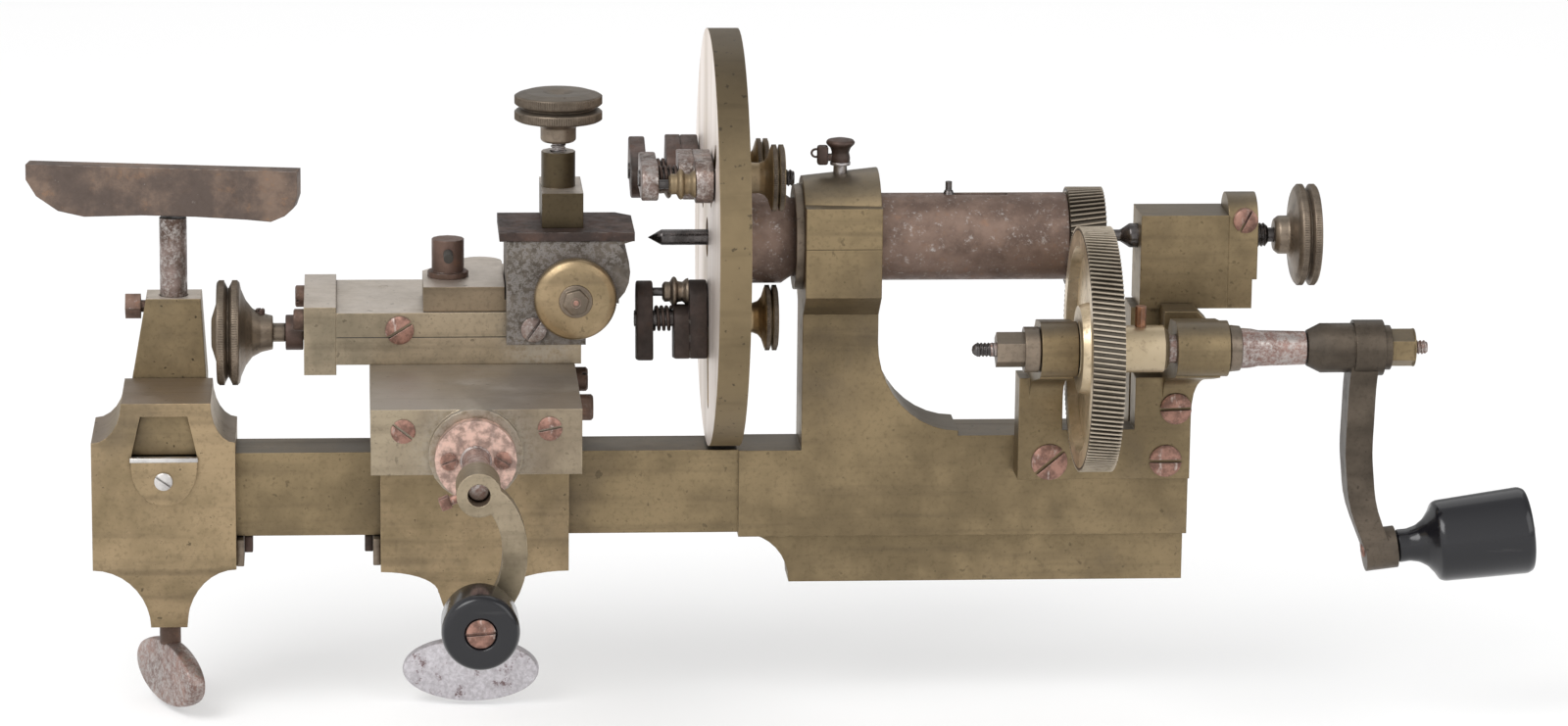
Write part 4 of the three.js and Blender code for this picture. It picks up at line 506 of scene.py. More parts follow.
def copy_of(node):
    """A clean copy of a CAD node's mesh, with its doubles merged."""
    work = bmesh.new()
    work.from_mesh(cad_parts[node].data)
    bmesh.ops.remove_doubles(work, verts=work.verts, dist=2e-6)
    bmesh.ops.dissolve_limit(work, angle_limit=math.radians(0.4), verts=work.verts, edges=work.edges)
    points = [v.co.copy() for v in work.verts]
    work.verts.index_update()
    faces = [[v.index for v in face.verts] for face in work.faces]
    work.free()
    mesh = bpy.data.meshes.new(node)
    mesh.from_pydata(points, [], faces)
    return mesh


def filleted(profile, radius, steps=3):
    """The profile with each inner corner rounded."""
    count = len(profile)
    rounded = [profile[0]]
    for i in range(1, count - 1):
        before, here, after = (Vector(profile[k]) for k in (i - 1, i, i + 1))
        to_before, to_after = before - here, after - here
        cut = min(radius, to_before.length * 0.45, to_after.length * 0.45)
        straight = to_before.length < 1e-6 or to_after.length < 1e-6
        if straight or cut < 0.02 or abs(to_before.angle(to_after) - math.pi) < 0.2:
            rounded.append(tuple(here))
            continue
        start = here + to_before.normalized() * cut
        end = here + to_after.normalized() * cut
        for k in range(steps + 1):
            t = k / steps
            rounded.append(tuple(start.lerp(here, t).lerp(here.lerp(end, t), t)))
    rounded.append(profile[-1])
    return rounded


def axis_frame(axis, at):
    """Takes local Z to the axis and the local origin to a place in millimetres."""
    turn = axis.to_track_quat("Z", "Y").to_matrix().to_4x4()
    return Matrix.Translation(Vector(at) * MM) @ turn


def skin(work, pairs, count):
    """Faces between pairs of rings, where a ring may be a single point."""
    for low, high in pairs:
        for k in range(count):
            after = (k + 1) % count
            corners = [low[k % len(low)], low[after % len(low)], high[after % len(high)], high[k % len(high)]]
            face = list(dict.fromkeys(corners))
            if len(face) > 2:
                work.faces.new(face)
    bmesh.ops.recalc_face_normals(work, faces=work.faces)


def turned_on(profile, place, count=96, radius=0.35):
    """A turned body: profile of (along, radius) in millimetres, about local Z."""
    work = bmesh.new()
    rings = []
    for along, out in filleted(profile, radius):
        ring = []
        for turn in turns(count if out > 1e-6 else 1):
            ring.append(
                work.verts.new(place @ (Vector((out * math.cos(turn), out * math.sin(turn), along)) * MM))
            )
        rings.append(ring)
    skin(work, list(zip(rings, rings[1:])), count)
    bmesh.ops.remove_doubles(work, verts=work.verts, dist=1e-7)
    return mesh_of(work)


def turned_piece(profile, axis, at, count=96, radius=0.35):
    """A turned body about an axis through a place."""
    return turned_on(profile, axis_frame(axis, at), count, radius)


def slab(outline, low, high, place, bevel):
    """An outline in local X and Y stood up between two values of local Z, with its edges taken off."""
    work = bmesh.new()
    rings = [[work.verts.new(place @ (Vector((u, v, w)) * MM)) for u, v in outline] for w in (low, high)]
    work.faces.new(rings[0])
    work.faces.new(rings[1])
    skin(work, [rings], len(outline))
    if bevel:
        bmesh.ops.bevel(
            work, geom=work.edges[:], offset=bevel * MM, segments=2, affect="EDGES", profile=0.5,
            clamp_overlap=True
        )
    return mesh_of(work)


def block(x0, x1, y0, y1, z0, z1, bevel):
    """A plain block between corners in millimetres."""
    x0, x1 = min(x0, x1), max(x0, x1)
    return slab([(x0, y0), (x1, y0), (x1, y1), (x0, y1)], z0, z1, Matrix(), bevel)


def join(*meshes):
    """One mesh out of several."""
    work = bmesh.new()
    for mesh in meshes:
        work.from_mesh(mesh)
    return mesh_of(work)


def tube(points, radius, sides=10, closed=False):
    """A round tube along points given in millimetres."""
    work = bmesh.new()
    spots = [Vector(p) * MM for p in points]
    rings = []
    previous = None
    for i, spot in enumerate(spots):
        ahead = spots[(i + 1) % len(spots)] if closed or i < len(spots) - 1 else spot
        behind = spots[i - 1] if closed or i > 0 else spot
        tangent = (ahead - behind).normalized()
        if previous is None:
            previous = tangent.orthogonal()
        side = (previous - tangent * previous.dot(tangent)).normalized()
        other = tangent.cross(side)
        previous = side
        ring = []
        for turn in turns(sides):
            ring.append(work.verts.new(spot + (side * math.cos(turn) + other * math.sin(turn)) * radius * MM))
        rings.append(ring)
    pairs = list(zip(rings, rings[1:]))
    if closed:
        pairs.append((rings[-1], rings[0]))
    else:
        work.faces.new(rings[0])
        work.faces.new(rings[-1])
    skin(work, pairs, sides)
    return mesh_of(work)


def thread_on(place, start, length, radius, pitch, around=28):
    """A threaded rod about local Z with a round-crested helical groove, capped at both ends."""
    depth = pitch * 0.42
    work = bmesh.new()
    rows = max(4, int(length / pitch * 8))
    grid = []
    for i in range(rows + 1):
        along = length * i / rows
        ring = []
        for k in range(around):
            turn = 2 * math.pi * k / around
            phase = along / pitch - k / around
            fade = min(1.0, along / pitch, (length - along) / pitch)
            end = min(1.0, 0.72 + (length - along) / pitch * 0.35)
            out = (radius - depth * fade * (0.5 - 0.5 * math.cos(2 * math.pi * phase))) * end
            spot = Vector((out * math.cos(turn), out * math.sin(turn), start + along))
            ring.append(work.verts.new(place @ (spot * MM)))
        grid.append(ring)
    work.faces.new(grid[0])
    work.faces.new(grid[-1])
    skin(work, list(zip(grid, grid[1:])), around)
    return mesh_of(work)


def coil_on(place, start, length, radius, wire, curls):
    """A wound spring about local Z."""
    steps = int(24 * curls)
    points = []
    for i in range(steps + 1):
        turn = 2 * math.pi * i / 24
        spot = Vector((radius * math.cos(turn), radius * math.sin(turn), start + length * i / steps))
        points.append((place @ (spot * MM)) / MM)
    return tube(points, wire, 10)


# Geometry Nodes trees.
class Tree:
    """A Geometry Nodes tree with named inputs."""

    def __init__(self, name, inputs):
        self.tree = bpy.data.node_groups.new(name, "GeometryNodeTree")
        face = self.tree.interface
        face.new_socket(name="Geometry", in_out="INPUT", socket_type="NodeSocketGeometry")
        for label, kind, value in inputs:
            made = face.new_socket(name=label, in_out="INPUT", socket_type=kind)
            if value is not None:
                made.default_value = value
        face.new_socket(name="Geometry", in_out="OUTPUT", socket_type="NodeSocketGeometry")
        self.start = self.tree.nodes.new("NodeGroupInput")
        self.end = self.tree.nodes.new("NodeGroupOutput")

    def named(self, label):
        return self.start.outputs[label]

    def node(self, kind, settings=None, values=None, out=0):
        made = self.tree.nodes.new(kind)
        for key, value in (settings or {}).items():
            setattr(made, key, value)
        for key, value in (values or {}).items():
            if isinstance(value, bpy.types.NodeSocket):
                self.tree.links.new(value, made.inputs[key])
            else:
                made.inputs[key].default_value = value
        return made.outputs[out]

    def maths(self, operation, first, second):
        return self.node("ShaderNodeMath", {"operation": operation}, {0: first, 1: second})

    def attribute(self, name, kind):
        return self.node("GeometryNodeInputNamedAttribute", {"data_type": kind}, {"Name": name})

    def finish(self, geometry):
        real = self.node("GeometryNodeRealizeInstances", None, {0: geometry})
        painted = self.node("GeometryNodeSetMaterial", None, {0: real, "Material": self.named("Finish")})
        self.tree.links.new(painted, self.end.inputs[0])
        return self.tree


def screw_tree():
    """Slotted screw heads on points that hold the way each faces, its size and how its slot lies."""
    t = Tree(
        "slotted screws",
        [
            ("Rise", "NodeSocketFloat", 0.35), ("Slot", "NodeSocketFloat", 0.2),
            ("Finish", "NodeSocketMaterial", None),
        ]
    )
    body = t.node(
        "GeometryNodeMeshCylinder", {"fill_type": "NGON"}, {"Vertices": 40, "Radius": 0.93, "Depth": 1.0}
    )
    body = t.node("GeometryNodeTransform", None, {0: body, "Translation": (0.0, 0.0, -0.5)})
    crown = t.node("GeometryNodeMeshCone", {"fill_type": "NGON"}, {
        "Vertices": 40, "Side Segments": 2, "Radius Top": 0.84, "Radius Bottom": 1.0, "Depth": 0.12,
    })
    crown = t.node("GeometryNodeTransform", None, {0: crown, "Translation": (0.0, 0.0, -0.12)})
    base = t.node(
        "GeometryNodeMeshCylinder", {"fill_type": "NGON"}, {"Vertices": 40, "Radius": 1.0, "Depth": 0.9}
    )
    base = t.node("GeometryNodeTransform", None, {0: base, "Translation": (0.0, 0.0, -0.57)})
    size = t.node("ShaderNodeCombineXYZ", None, {0: 2.6, 1: t.named("Slot"), 2: 0.72})
    groove = t.node("GeometryNodeMeshCube", None, {"Size": size})
    solid = t.node("GeometryNodeMeshBoolean", {"operation": "UNION", "solver": "EXACT"}, {1: base})
    whole = t.tree.nodes.new("GeometryNodeMeshBoolean")
    whole.operation = "UNION"
    whole.solver = "EXACT"
    t.tree.links.new(crown, whole.inputs[1])
    t.tree.links.new(solid, whole.inputs[1])
    cut = t.tree.nodes.new("GeometryNodeMeshBoolean")
    cut.operation = "DIFFERENCE"
    cut.solver = "EXACT"
    t.tree.links.new(whole.outputs[0], cut.inputs[0])
    t.tree.links.new(groove, cut.inputs[1])
    turn = t.node(
        "FunctionNodeAlignRotationToVector", {"axis": "Z"},
        {"Vector": t.attribute("facing", "FLOAT_VECTOR")}
    )
    slot_turn = t.node(
        "FunctionNodeAxisAngleToRotation", None,
        {"Axis": (0.0, 0.0, 1.0), "Angle": t.attribute("slot_turn", "FLOAT")}
    )
    turn = t.node("FunctionNodeRotateRotation", {"rotation_space": "LOCAL"}, {0: turn, 1: slot_turn})
    size = t.attribute("size", "FLOAT")
    rise = t.maths("MULTIPLY", size, t.maths("MULTIPLY", t.named("Rise"), 2.0))
    size = t.node("ShaderNodeCombineXYZ", None, {0: size, 1: size, 2: rise})
    placed = t.node("GeometryNodeInstanceOnPoints", None, {
        "Points": t.named("Geometry"), "Instance": cut.outputs[0], "Rotation": turn, "Scale": size,
    })
    return t.finish(placed)


def knurl_tree():
    """Straight knurls: square ridges stood on a corner round a rim."""
    t = Tree(
        "knurls",
        [
            ("Count", "NodeSocketInt", 90), ("Radius", "NodeSocketFloat", 0.01),
            ("Width", "NodeSocketFloat", 0.003), ("Ridge", "NodeSocketFloat", 0.0005),
            ("Finish", "NodeSocketMaterial", None),
        ]
    )
    ring = t.node("GeometryNodeMeshCircle", None, {"Vertices": t.named("Count"), "Radius": t.named("Radius")})
    size = t.node(
        "ShaderNodeCombineXYZ", None, {0: t.named("Ridge"), 1: t.named("Ridge"), 2: t.named("Width")}
    )
    ridge = t.node("GeometryNodeMeshCube", None, {"Size": size})
    outward = t.node("GeometryNodeInputPosition")
    turn = t.node("FunctionNodeAlignRotationToVector", {"axis": "X"}, {"Vector": outward})
    quarter = t.node("FunctionNodeAxisAngleToRotation", None, {"Axis": (0.0, 0.0, 1.0), "Angle": math.pi / 4})
    turn = t.node("FunctionNodeRotateRotation", {"rotation_space": "LOCAL"}, {0: turn, 1: quarter})
    placed = t.node(
        "GeometryNodeInstanceOnPoints", None, {"Points": ring, "Instance": ridge, "Rotation": turn}
    )
    return t.finish(placed)


def grown(tree, base, values, name):
    """Runs a tree on a mesh and returns the plain result."""
    carrier = new_object(name + "_carrier", base)
    modifier = carrier.modifiers.new("grow", "NODES")
    modifier.node_group = tree
    for item in tree.interface.items_tree:
        if item.in_out == "INPUT" and item.name in values:
            modifier[item.identifier] = values[item.name]
    bpy.context.view_layer.update()
    depsgraph = bpy.context.evaluated_depsgraph_get()
    mesh = bpy.data.meshes.new_from_object(carrier.evaluated_get(depsgraph))
    carrier.modifiers.clear()
    bpy.data.objects.remove(carrier)
    return mesh


def screws(name, body, rows, finish="copper", rise=0.35, slot=0.2):
    """Screw heads for one body. Each row: place in mm, way it faces, radius, turn of its slot in degrees."""
    base = bpy.data.meshes.new(name + "_points")
    base.from_pydata([Vector(place) * MM for place, _, _, _ in rows], [], [])
    for label, kind in (("facing", "FLOAT_VECTOR"), ("size", "FLOAT"), ("slot_turn", "FLOAT")):
        base.attributes.new(label, kind, "POINT")
    for i, (_, way, radius, degrees) in enumerate(rows):
        base.attributes["facing"].data[i].vector = way
        base.attributes["size"].data[i].value = radius * MM
        base.attributes["slot_turn"].data[i].value = math.radians(degrees)
    tree = bpy.data.node_groups.get("slotted screws") or screw_tree()
    mesh = grown(tree, base, {"Rise": rise, "Slot": slot, "Finish": FINISHES[finish]}, name)
    keep(name, mesh, finish, body, smooth=28.0)


def knurled_on(place, along, radius, width, count):
    """A ring of knurls about local Z, as a plain mesh. The ridges fill two thirds of the round."""
    ridge = 2 * math.pi * radius / count * 0.68
    tree = bpy.data.node_groups.get("knurls") or knurl_tree()
    values = {
        "Count": count, "Radius": radius * MM, "Width": width * MM, "Ridge": ridge * MM,
        "Finish": FINISHES["knurl"]
    }
    mesh = grown(tree, bpy.data.meshes.new("ring"), values, "knurl")
    mesh.transform(place @ Matrix.Translation((0, 0, along * MM)))
    return mesh


def rim_profile(start, width, radius, groove):
    """Two flat rims with a V between them, from start along the axis."""
    half, lip = width / 2, 0.4
    return [
        (start, radius - lip), (start + lip, radius), (start + half - groove / 2, radius),
        (start + half, radius - groove), (start + half + groove / 2, radius), (start + width - lip, radius),
        (start + width, radius - lip),
    ]


def dog_frame(angle, reach, swivel):
    """Where a dog is: u towards its mouth, v sideways, w along X, in metres."""
    turn = math.radians(angle)
    outward = Vector((0, -math.cos(turn), math.sin(turn)))
    facing = Matrix.Rotation(-math.radians(swivel), 3, "X") @ outward
    place = Matrix((facing, X_AXIS.cross(facing), X_AXIS)).transposed().to_4x4()
    place.translation = outward * reach * MM + Vector((0, 0, SPINDLE_Z * MM))
    return place


# What a user may change.
class MandrelSettings(bpy.types.PropertyGroup):
    """Colours and sizes of the dressing."""

    brass: bpy.props.FloatVectorProperty(
        name="Brass", description="Olive brass of the castings", subtype="COLOR", size=3, min=0.0, max=1.0,
        default=(0.25, 0.188, 0.107))
    pale_brass: bpy.props.FloatVectorProperty(
        name="Pale brass", description="Lighter brass of the saddles and knobs", subtype="COLOR", size=3,
        min=0.0, max=1.0, default=(0.35, 0.26, 0.155)
    )
    dark_brass: bpy.props.FloatVectorProperty(
        name="Dark brass", description="Brown brass of the crank arm and knobs", subtype="COLOR", size=3,
        min=0.0, max=1.0, default=(0.085, 0.068, 0.052)
    )
    knurl_count: bpy.props.IntProperty(
        name="Knurls", description="Knurls round the largest knob", default=132, min=24, max=240)
    thread_pitch: bpy.props.FloatProperty(
        name="Thread pitch", description="Pitch of the visible threads", unit="LENGTH", default=0.0009,
        min=0.0003, max=0.002, precision=5
    )
    floor_drop: bpy.props.FloatProperty(
        name="Floor drop", description="How far the floor lies below the foot", unit="LENGTH",
        default=0.0334, min=0.0, max=0.2
    )


class MANDREL_OT_stage(bpy.types.Operator):
    """Floor, lights and camera"""

    bl_idname = "mandrel.stage"
    bl_label = "Stage"

    def execute(self, context):
        make_stage(context.scene.mandrel)
        return {"FINISHED"}


def make_stage(sizes):
    scene = bpy.context.scene
    scene.view_settings.view_transform = "Standard"
    floor = Finish("pale_floor")
    floor.done((0.55, 0.55, 0.55), 0.9, 0.0, specular=0.1, glow=0.42)
    mesh = bpy.data.meshes.new("floor")
    low, far = -sizes.floor_drop, 3.0
    mesh.from_pydata(
        [(-far, -far, low), (far, -far, low), (far, far, low), (-far, far, low)], [], [(0, 1, 2, 3)]
    )
    mesh.materials.append(floor.material)
    new_object("floor", mesh)
    scene.world = soft_room()
    add_light("key", (-0.9, -0.9, 1.3), 1.0, 16.0)
    add_light("fill", (1.1, -0.9, 0.8), 1.2, 7.0)
    add_light("back", (0.2, 1.1, 1.2), 1.2, 3.0)
    add_camera()


def soft_room():
    """A white room, brighter in front and to the left than overhead and behind."""
    world = bpy.data.worlds.new("soft_room")
    world.use_nodes = True
    room = Finish("room", world)
    across, depth, height = (room.along(i) for i in range(3))
    glow = 0.86 - across * 0.34 - depth * 0.42 - height * 0.15
    lit = room.node("ShaderNodeBackground", None, {"Color": (1.0, 1.0, 1.0, 1.0), "Strength": glow})
    room.node_out(lit, "ShaderNodeOutputWorld")
    return world


def add_light(name, at, size, power):
    """A soft square lamp aimed at the object."""
    data = bpy.data.lights.new(name, "AREA")
    data.energy = power
    data.size = size
    light = bpy.data.objects.new(name, data)
    place = Vector(at)
    aim = (Vector((-0.03, 0, 0.06)) - place).to_track_quat("-Z", "Y").to_matrix().to_4x4()
    light.matrix_world = Matrix.Translation(place) @ aim
    bpy.context.scene.collection.objects.link(light)


def add_camera():
    """The camera at the photo's angle and distance."""
    azimuth, elevation, roll = math.radians(-4.38), math.radians(13.0), math.radians(0.65)
    distance = 1.462
    target = Vector((-51.5, 0.0, 56.1)) * MM
    level = math.cos(elevation)
    ahead = Vector((-math.sin(azimuth) * level, math.cos(azimuth) * level, -math.sin(elevation)))
    data = bpy.data.cameras.new("camera")
    data.sensor_width = 36.0
    data.lens = 131.6
    camera = bpy.data.objects.new("camera", data)
    turn = ahead.to_track_quat("-Z", "Y").to_matrix().to_4x4()
    stand = Matrix.Translation(target - ahead * distance)
    camera.matrix_world = stand @ turn @ Matrix.Rotation(roll, 4, "Z")
    bpy.context.scene.collection.objects.link(camera)
    bpy.context.scene.camera = camera


# Pieces that keep the CAD shape: node, finish, body and material slot.
PLAIN_PIECES = [
    ("bed_casting", "bed", "frame", "brass"), ("bearing_cap", "bed", "frame", "brass"),
    ("bearing_bush", "bronze", "frame", "dark_brass"), ("tail_block", "bed", "frame", "brass"),
    ("tail_cap", "bed", "frame", "brass"), ("crank_bracket", "bed", "frame", "brass"),
    ("spindle", "barrel", "spindle", "rusty_steel"), ("faceplate", "plate", "spindle", "brass"),
    ("pinion", "pinion", "spindle", "dark_brass"), ("drive_wheel", "wheel", "crank", "brass"),
    ("wheel_pin", "pin", "crank", "copper_red"), ("shaft_nut", "bronze", "crank", "brass"),
    ("crank_nut", "bed", "crank", "brass"), ("crank_arm", "arm", "crank", "dark_brass"),
    ("rest_saddle", "saddle", "rest_saddle", "brass"),
    ("rest_stop_plate", "saddle", "rest_saddle", "brass"), ("rest_shoe", "shoe", "rest_shoe", "brass"),
    ("socket_screw", "rust", "socket_screw", "rusty_steel"),
    ("rest_post", "silver_rust", "rest_post", "rusty_steel"),
    ("rest_blade", "blade", "rest_blade", "rusty_steel"),
    ("slide_saddle", "saddle", "slide_saddle", "brass"), ("cross_slide", "cross", "cross_slide", "brass"),
    ("retaining_disc", "pink", "cross_slide", "copper_red"), ("slide_bar", "slide", "cross_slide", "brass"),
    ("end_plate", "slide", "cross_slide", "brass"), ("cross_crank", "hand", "cross_crank", "dark_brass"),
    ("tool_carriage", "carriage", "tool_slide", "brass"), ("tool_head", "grease", "tool_slide", "brass"),
    ("clamp_plate", "clamp", "tool_slide", "rusty_steel"), ("tool_post", "post", "tool_slide", "brass"),
    ("tommy_screw", "tommy", "tool_slide", "rusty_steel"),
]


class MANDREL_OT_castings(bpy.types.Operator):
    """Pieces that keep the shape of their CAD node"""

    bl_idname = "mandrel.castings"
    bl_label = "Castings"

    def execute(self, context):
        for node, finish, body, slot in PLAIN_PIECES:
            keep(node + "_dressed", copy_of(node), finish, body, [node])
        return {"FINISHED"}


class MANDREL_OT_dogs(bpy.types.Operator):
    """The three dogs on the faceplate, and the pointed rod between them"""

    bl_idname = "mandrel.dogs"
    bl_label = "Dogs"

    def execute(self, context):
        for name, (angle, reach, swivel, bolt_end) in DOGS.items():
            make_dog("dog_" + name, dog_frame(angle, reach, swivel), bolt_end, context.scene.mandrel)
        rod = turned_piece(
            [(-86.5, 0), (-83.0, 2.0), (-8.4, 2.0), (-8.4, 0)], X_AXIS, (0, 0, SPINDLE_Z), 48, 0.2
        )
        pin = turned_piece(
            [(0, 0), (0, 0.85), (11.2, 0.85), (11.2, 0)], Z_AXIS, (PUMP_PIN_X, 0, SPINDLE_Z + 3.0), 24, 0.2
        )
        foot = turned_piece(
            [(10.6, 0), (10.6, 1.6), (12.0, 1.0), (12.0, 0)], Z_AXIS, (PUMP_PIN_X, 0, SPINDLE_Z), 24, 0.2
        )
        keep(
            "pump_centre_dressed", join(rod, pin, foot), "dark_steel", "pump", ["pump_centre"],
        )
        return {"FINISHED"}


def rounded_end(inner, outer, half, steps=12):
    """A long outline whose inner end is a half circle."""
    arc = [math.pi / 2 + math.pi * k / steps for k in range(steps + 1)]
    round_end = [(inner + half + half * math.cos(a), half * math.sin(a)) for a in arc]
    return [(outer, -half), (outer, half), *round_end]


def make_dog(body, place, bolt_end, sizes):
    """One dog. Values along its bolt are the CAD's own X."""
    pitch = sizes.thread_pitch / MM
    plate_face, foot_face, seat_face, strap_back, strap_face = -71.7, -76.3, -80.2, -85.4, -89.6
    bolt_radius, post_radius, post_inward = 2.1, 1.1, -6.7
    post = place @ Matrix.Translation(Vector((post_inward, 0, 0)) * MM)
    foot = slab(rounded_end(-9.8, 10.2, 5.25), foot_face, plate_face, place, 0.5)
    seat = slab(rounded_end(-3.6, 10.2, 5.25), seat_face, -76.2, place, 0.4)
    base_finish, strap_finish, acorn_finish = DOG_FINISHES[body]
    keep(body + "_base_dressed", join(foot, seat), base_finish, body, [body + "_base"])
    acorn = turned_on(
        [
            (-82.9, 0), (-82.9, 1.9), (-82.3, 2.6), (-81.0, 2.5), (-80.4, 3.6), (-79.9, 3.9), (-79.4, 3.6),
            (-79.0, 2.7), (-77.8, 2.5), (-76.9, 3.3), (-76.25, 3.5), (-76.25, 0),
        ], post, 48, 0.2
    )
    keep(body + "_acorn", acorn, acorn_finish, body)
    rod = turned_on([(-87.2, 0), (-87.2, post_radius), (-76.0, post_radius), (-76.0, 0)], post, 24, 0.1)
    keep(body + "_post", rod, "dark_steel", body)
    strap = slab(rounded_end(-9.6, 10.6, 4.5), strap_face, strap_back, place, 0.5)
    keep(body + "_strap_dressed", strap, strap_finish, body + "_jaw", [body + "_strap"])
    bolt = join(
        turned_on([(-90.1, 0), (-90.1, bolt_radius), (-62.2, bolt_radius), (-62.2, 0)], place, 32, 0.3),
        thread_on(place, -62.3, bolt_end + 62.3, bolt_radius, pitch),
    )
    keep(body + "_bolt_dressed", bolt, "dark_steel", body + "_jaw", [body + "_bolt"])
    spring = coil_on(place, -85.0, 4.4, 2.85, 0.45, 3.5)
    keep(
        body + "_spring_dressed", spring, "dark_rust", body, [body + "_spring"], smooth=60.0,
    )
    profile = [
        (-63.3, 2.3), (-63.3, 4.3), (-62.5, 3.9), (-60.0, 3.8), (-58.7, 4.3), (-57.8, 5.4), (-57.3, 6.9),
        (-57.1, 7.6), (-56.9, 8.0), (-55.7, 8.08), (-55.35, 6.9), (-55.1, 8.08), (-53.9, 8.0), (-53.7, 7.6),
        (-53.7, 2.3), (-63.3, 2.3),
    ]
    nut = turned_on(profile, place, 96, 0.15)
    keep(body + "_nut_dressed", nut, "turned", body + "_nut", [body + "_nut"])
    ridges = [knurled_on(place, along, 8.08, 1.05, 96) for along in (-56.3, -54.5)]
    keep(body + "_nut_knurls", join(*ridges), "knurl", body + "_nut", smooth=20.0)


class MANDREL_OT_knobs(bpy.types.Operator):
    """The tail knob, feed knob, top knob and front knob"""

    bl_idname = "mandrel.knobs"
    bl_label = "Knobs"

    def execute(self, context):
        count = context.scene.mandrel.knurl_count
        pitch = context.scene.mandrel.thread_pitch / MM
        tail_knob(count, pitch)
        feed_knob(count)
        top_knob(int(count * 0.86), pitch)
        front_knob()
        return {"FINISHED"}


def knurled_knob(name, body, nodes, profile, axis, at, rims, count):
    """A turned knob with knurls on its rims. Each rim: middle along the axis, width and radius."""
    keep(name, turned_piece(profile, axis, at, 128, 0.3), "bronze", body, nodes)
    place = axis_frame(axis, at)
    ridges = [knurled_on(place, middle, radius - 0.12, width, count) for middle, width, radius in rims]
    keep(name + "_knurls", join(*ridges), "knurl", body, smooth=20.0)


def tail_knob(count, pitch):
    at = (0, 0, SPINDLE_Z)
    profile = [
        (73.4, 1.95), (73.4, 4.0), (74.6, 4.9), (77.0, 4.9), (77.8, 6.4), (78.3, 9.0), (78.5, 11.4),
        *rim_profile(79.0, 5.3, 12.8, 1.7), (84.3, 6.0), (84.3, 0), (78.6, 0), (78.6, 1.95), (73.4, 1.95),
    ]
    knurled_knob(
        "tail_knob_dressed", "tail_knob", ["tail_knob"], profile, X_AXIS, at,
        [(80.1, 1.2, 12.8), (83.2, 1.2, 12.8)], count
    )
    screw = join(
        turned_piece(
            [(29.8, 0), (31.3, 1.5), (34.0, 1.5), (36.4, 3.1), (60.0, 3.1), (60.0, 0)], X_AXIS, at, 64
        ),
        thread_on(axis_frame(X_AXIS, at), 59.8, 12.0, 3.1, pitch),
        turned_piece([(71.7, 0), (71.7, 1.85), (78.3, 1.85), (78.3, 0)], X_AXIS, at, 48),
    )
    keep("tail_screw_dressed", screw, "dark_steel", "tail_screw", ["tail_screw"])


def feed_knob(count):
    at = (0, FEED[0], FEED[1])
    profile = [
        (-197.0, 0), (-197.0, 3.6), (-196.5, 5.2), (-195.7, 7.8), *rim_profile(-195.6, 5.8, 13.2, 2.0),
        (-189.5, 11.2), (-188.3, 8.4), (-186.6, 6.2), (-184.4, 5.0), (-181.4, 4.3), (-181.4, 2.4),
        (-178.2, 2.4), (-178.2, 0),
    ]
    knurled_knob(
        "feed_knob", "feed_screw", ["feed_screw"], profile, X_AXIS, at,
        [(-194.4, 1.4, 13.2), (-191.0, 1.4, 13.2)], count
    )
    rod = turned_piece(
        [(-178.2, 0), (-178.2, 4.5), (-173.7, 4.5), (-173.7, 1.8), (-105.4, 1.8), (-105.4, 0)], X_AXIS, at,
        48
    )
    keep("feed_shank", rod, "dark_rust", "feed_screw")


def top_knob(count, pitch):
    at = (TOP_X, 0, 0)
    profile = [
        (113.8, 0), (113.8, 3.9), (114.4, 4.5), (117.5, 4.5), (118.5, 5.6), (119.0, 8.0),
        *rim_profile(119.3, 6.6, 10.9, 1.7), (126.0, 10.0), (126.6, 8.2), (126.5, 4.0), (125.5, 1.6),
        (125.5, 0),
    ]
    screw = join(
        turned_piece([(94.2, 0), (94.2, 1.85), (107.3, 1.85), (107.3, 0)], Z_AXIS, at, 40),
        thread_on(axis_frame(Z_AXIS, at), 107.2, 7.6, 1.95, pitch),
    )
    keep("top_screw", screw, "steel", "top_knob")
    rims = [(120.6, 1.9, 10.9), (124.6, 1.9, 10.9)]
    knurled_knob("top_knob_dressed", "top_knob", ["top_knob"], profile, Z_AXIS, at, rims, count)


def front_knob():
    at = (FRONT_X, 0, FRONT_Z)
    disc = turned_piece(
        [
            (7.6, 0), (7.6, 2.4), (15.3, 2.4), (15.3, 4.6), (18.6, 4.6), (19.2, 8.6), (19.2, 9.7),
            (19.8, 10.3), (22.4, 10.3), (23.2, 9.9), (24.0, 8.4), (24.4, 5.4), (24.4, 0),
        ], -Y_AXIS, at, 96, 0.4
    )
    keep("front_knob_dressed", disc, "turned", "front_knob", ["front_knob"])
    ridges = knurled_on(axis_frame(-Y_AXIS, at), 20.6, 10.22, 1.2, 110)
    keep("front_knob_knurls", ridges, "knurl", "front_knob", smooth=20.0)
    boss = turned_piece([(24.2, 0), (24.2, 4.3), (24.9, 4.1), (24.9, 0)], -Y_AXIS, at, 48, 0.1)
    corners = [math.radians(60 * k + 14) for k in range(6)]
    hexagon = [(3.4 * math.cos(a), 3.4 * math.sin(a)) for a in corners]
    nut = slab(hexagon, 24.6, 26.4, axis_frame(-Y_AXIS, at), 0.35)
    stud = turned_piece(
        [(26.3, 0), (26.3, 1.25), (26.5, 1.25), (26.2, 0.9), (26.2, 0.75), (26.6, 0.7), (26.6, 0)], -Y_AXIS,
        at, 24, 0.05
    )
    keep("front_knob_nut", join(boss, nut), "bronze", "front_knob")
    keep("front_knob_stud", stud, "copper", "front_knob")
    washer = turned_piece(
        [(15.2, 2.5), (15.2, 9.2), (16.8, 9.2), (16.8, 2.5), (15.2, 2.5)], -Y_AXIS, at, 64, 0.2
    )
    keep("red_washer", washer, "red", "front_knob")


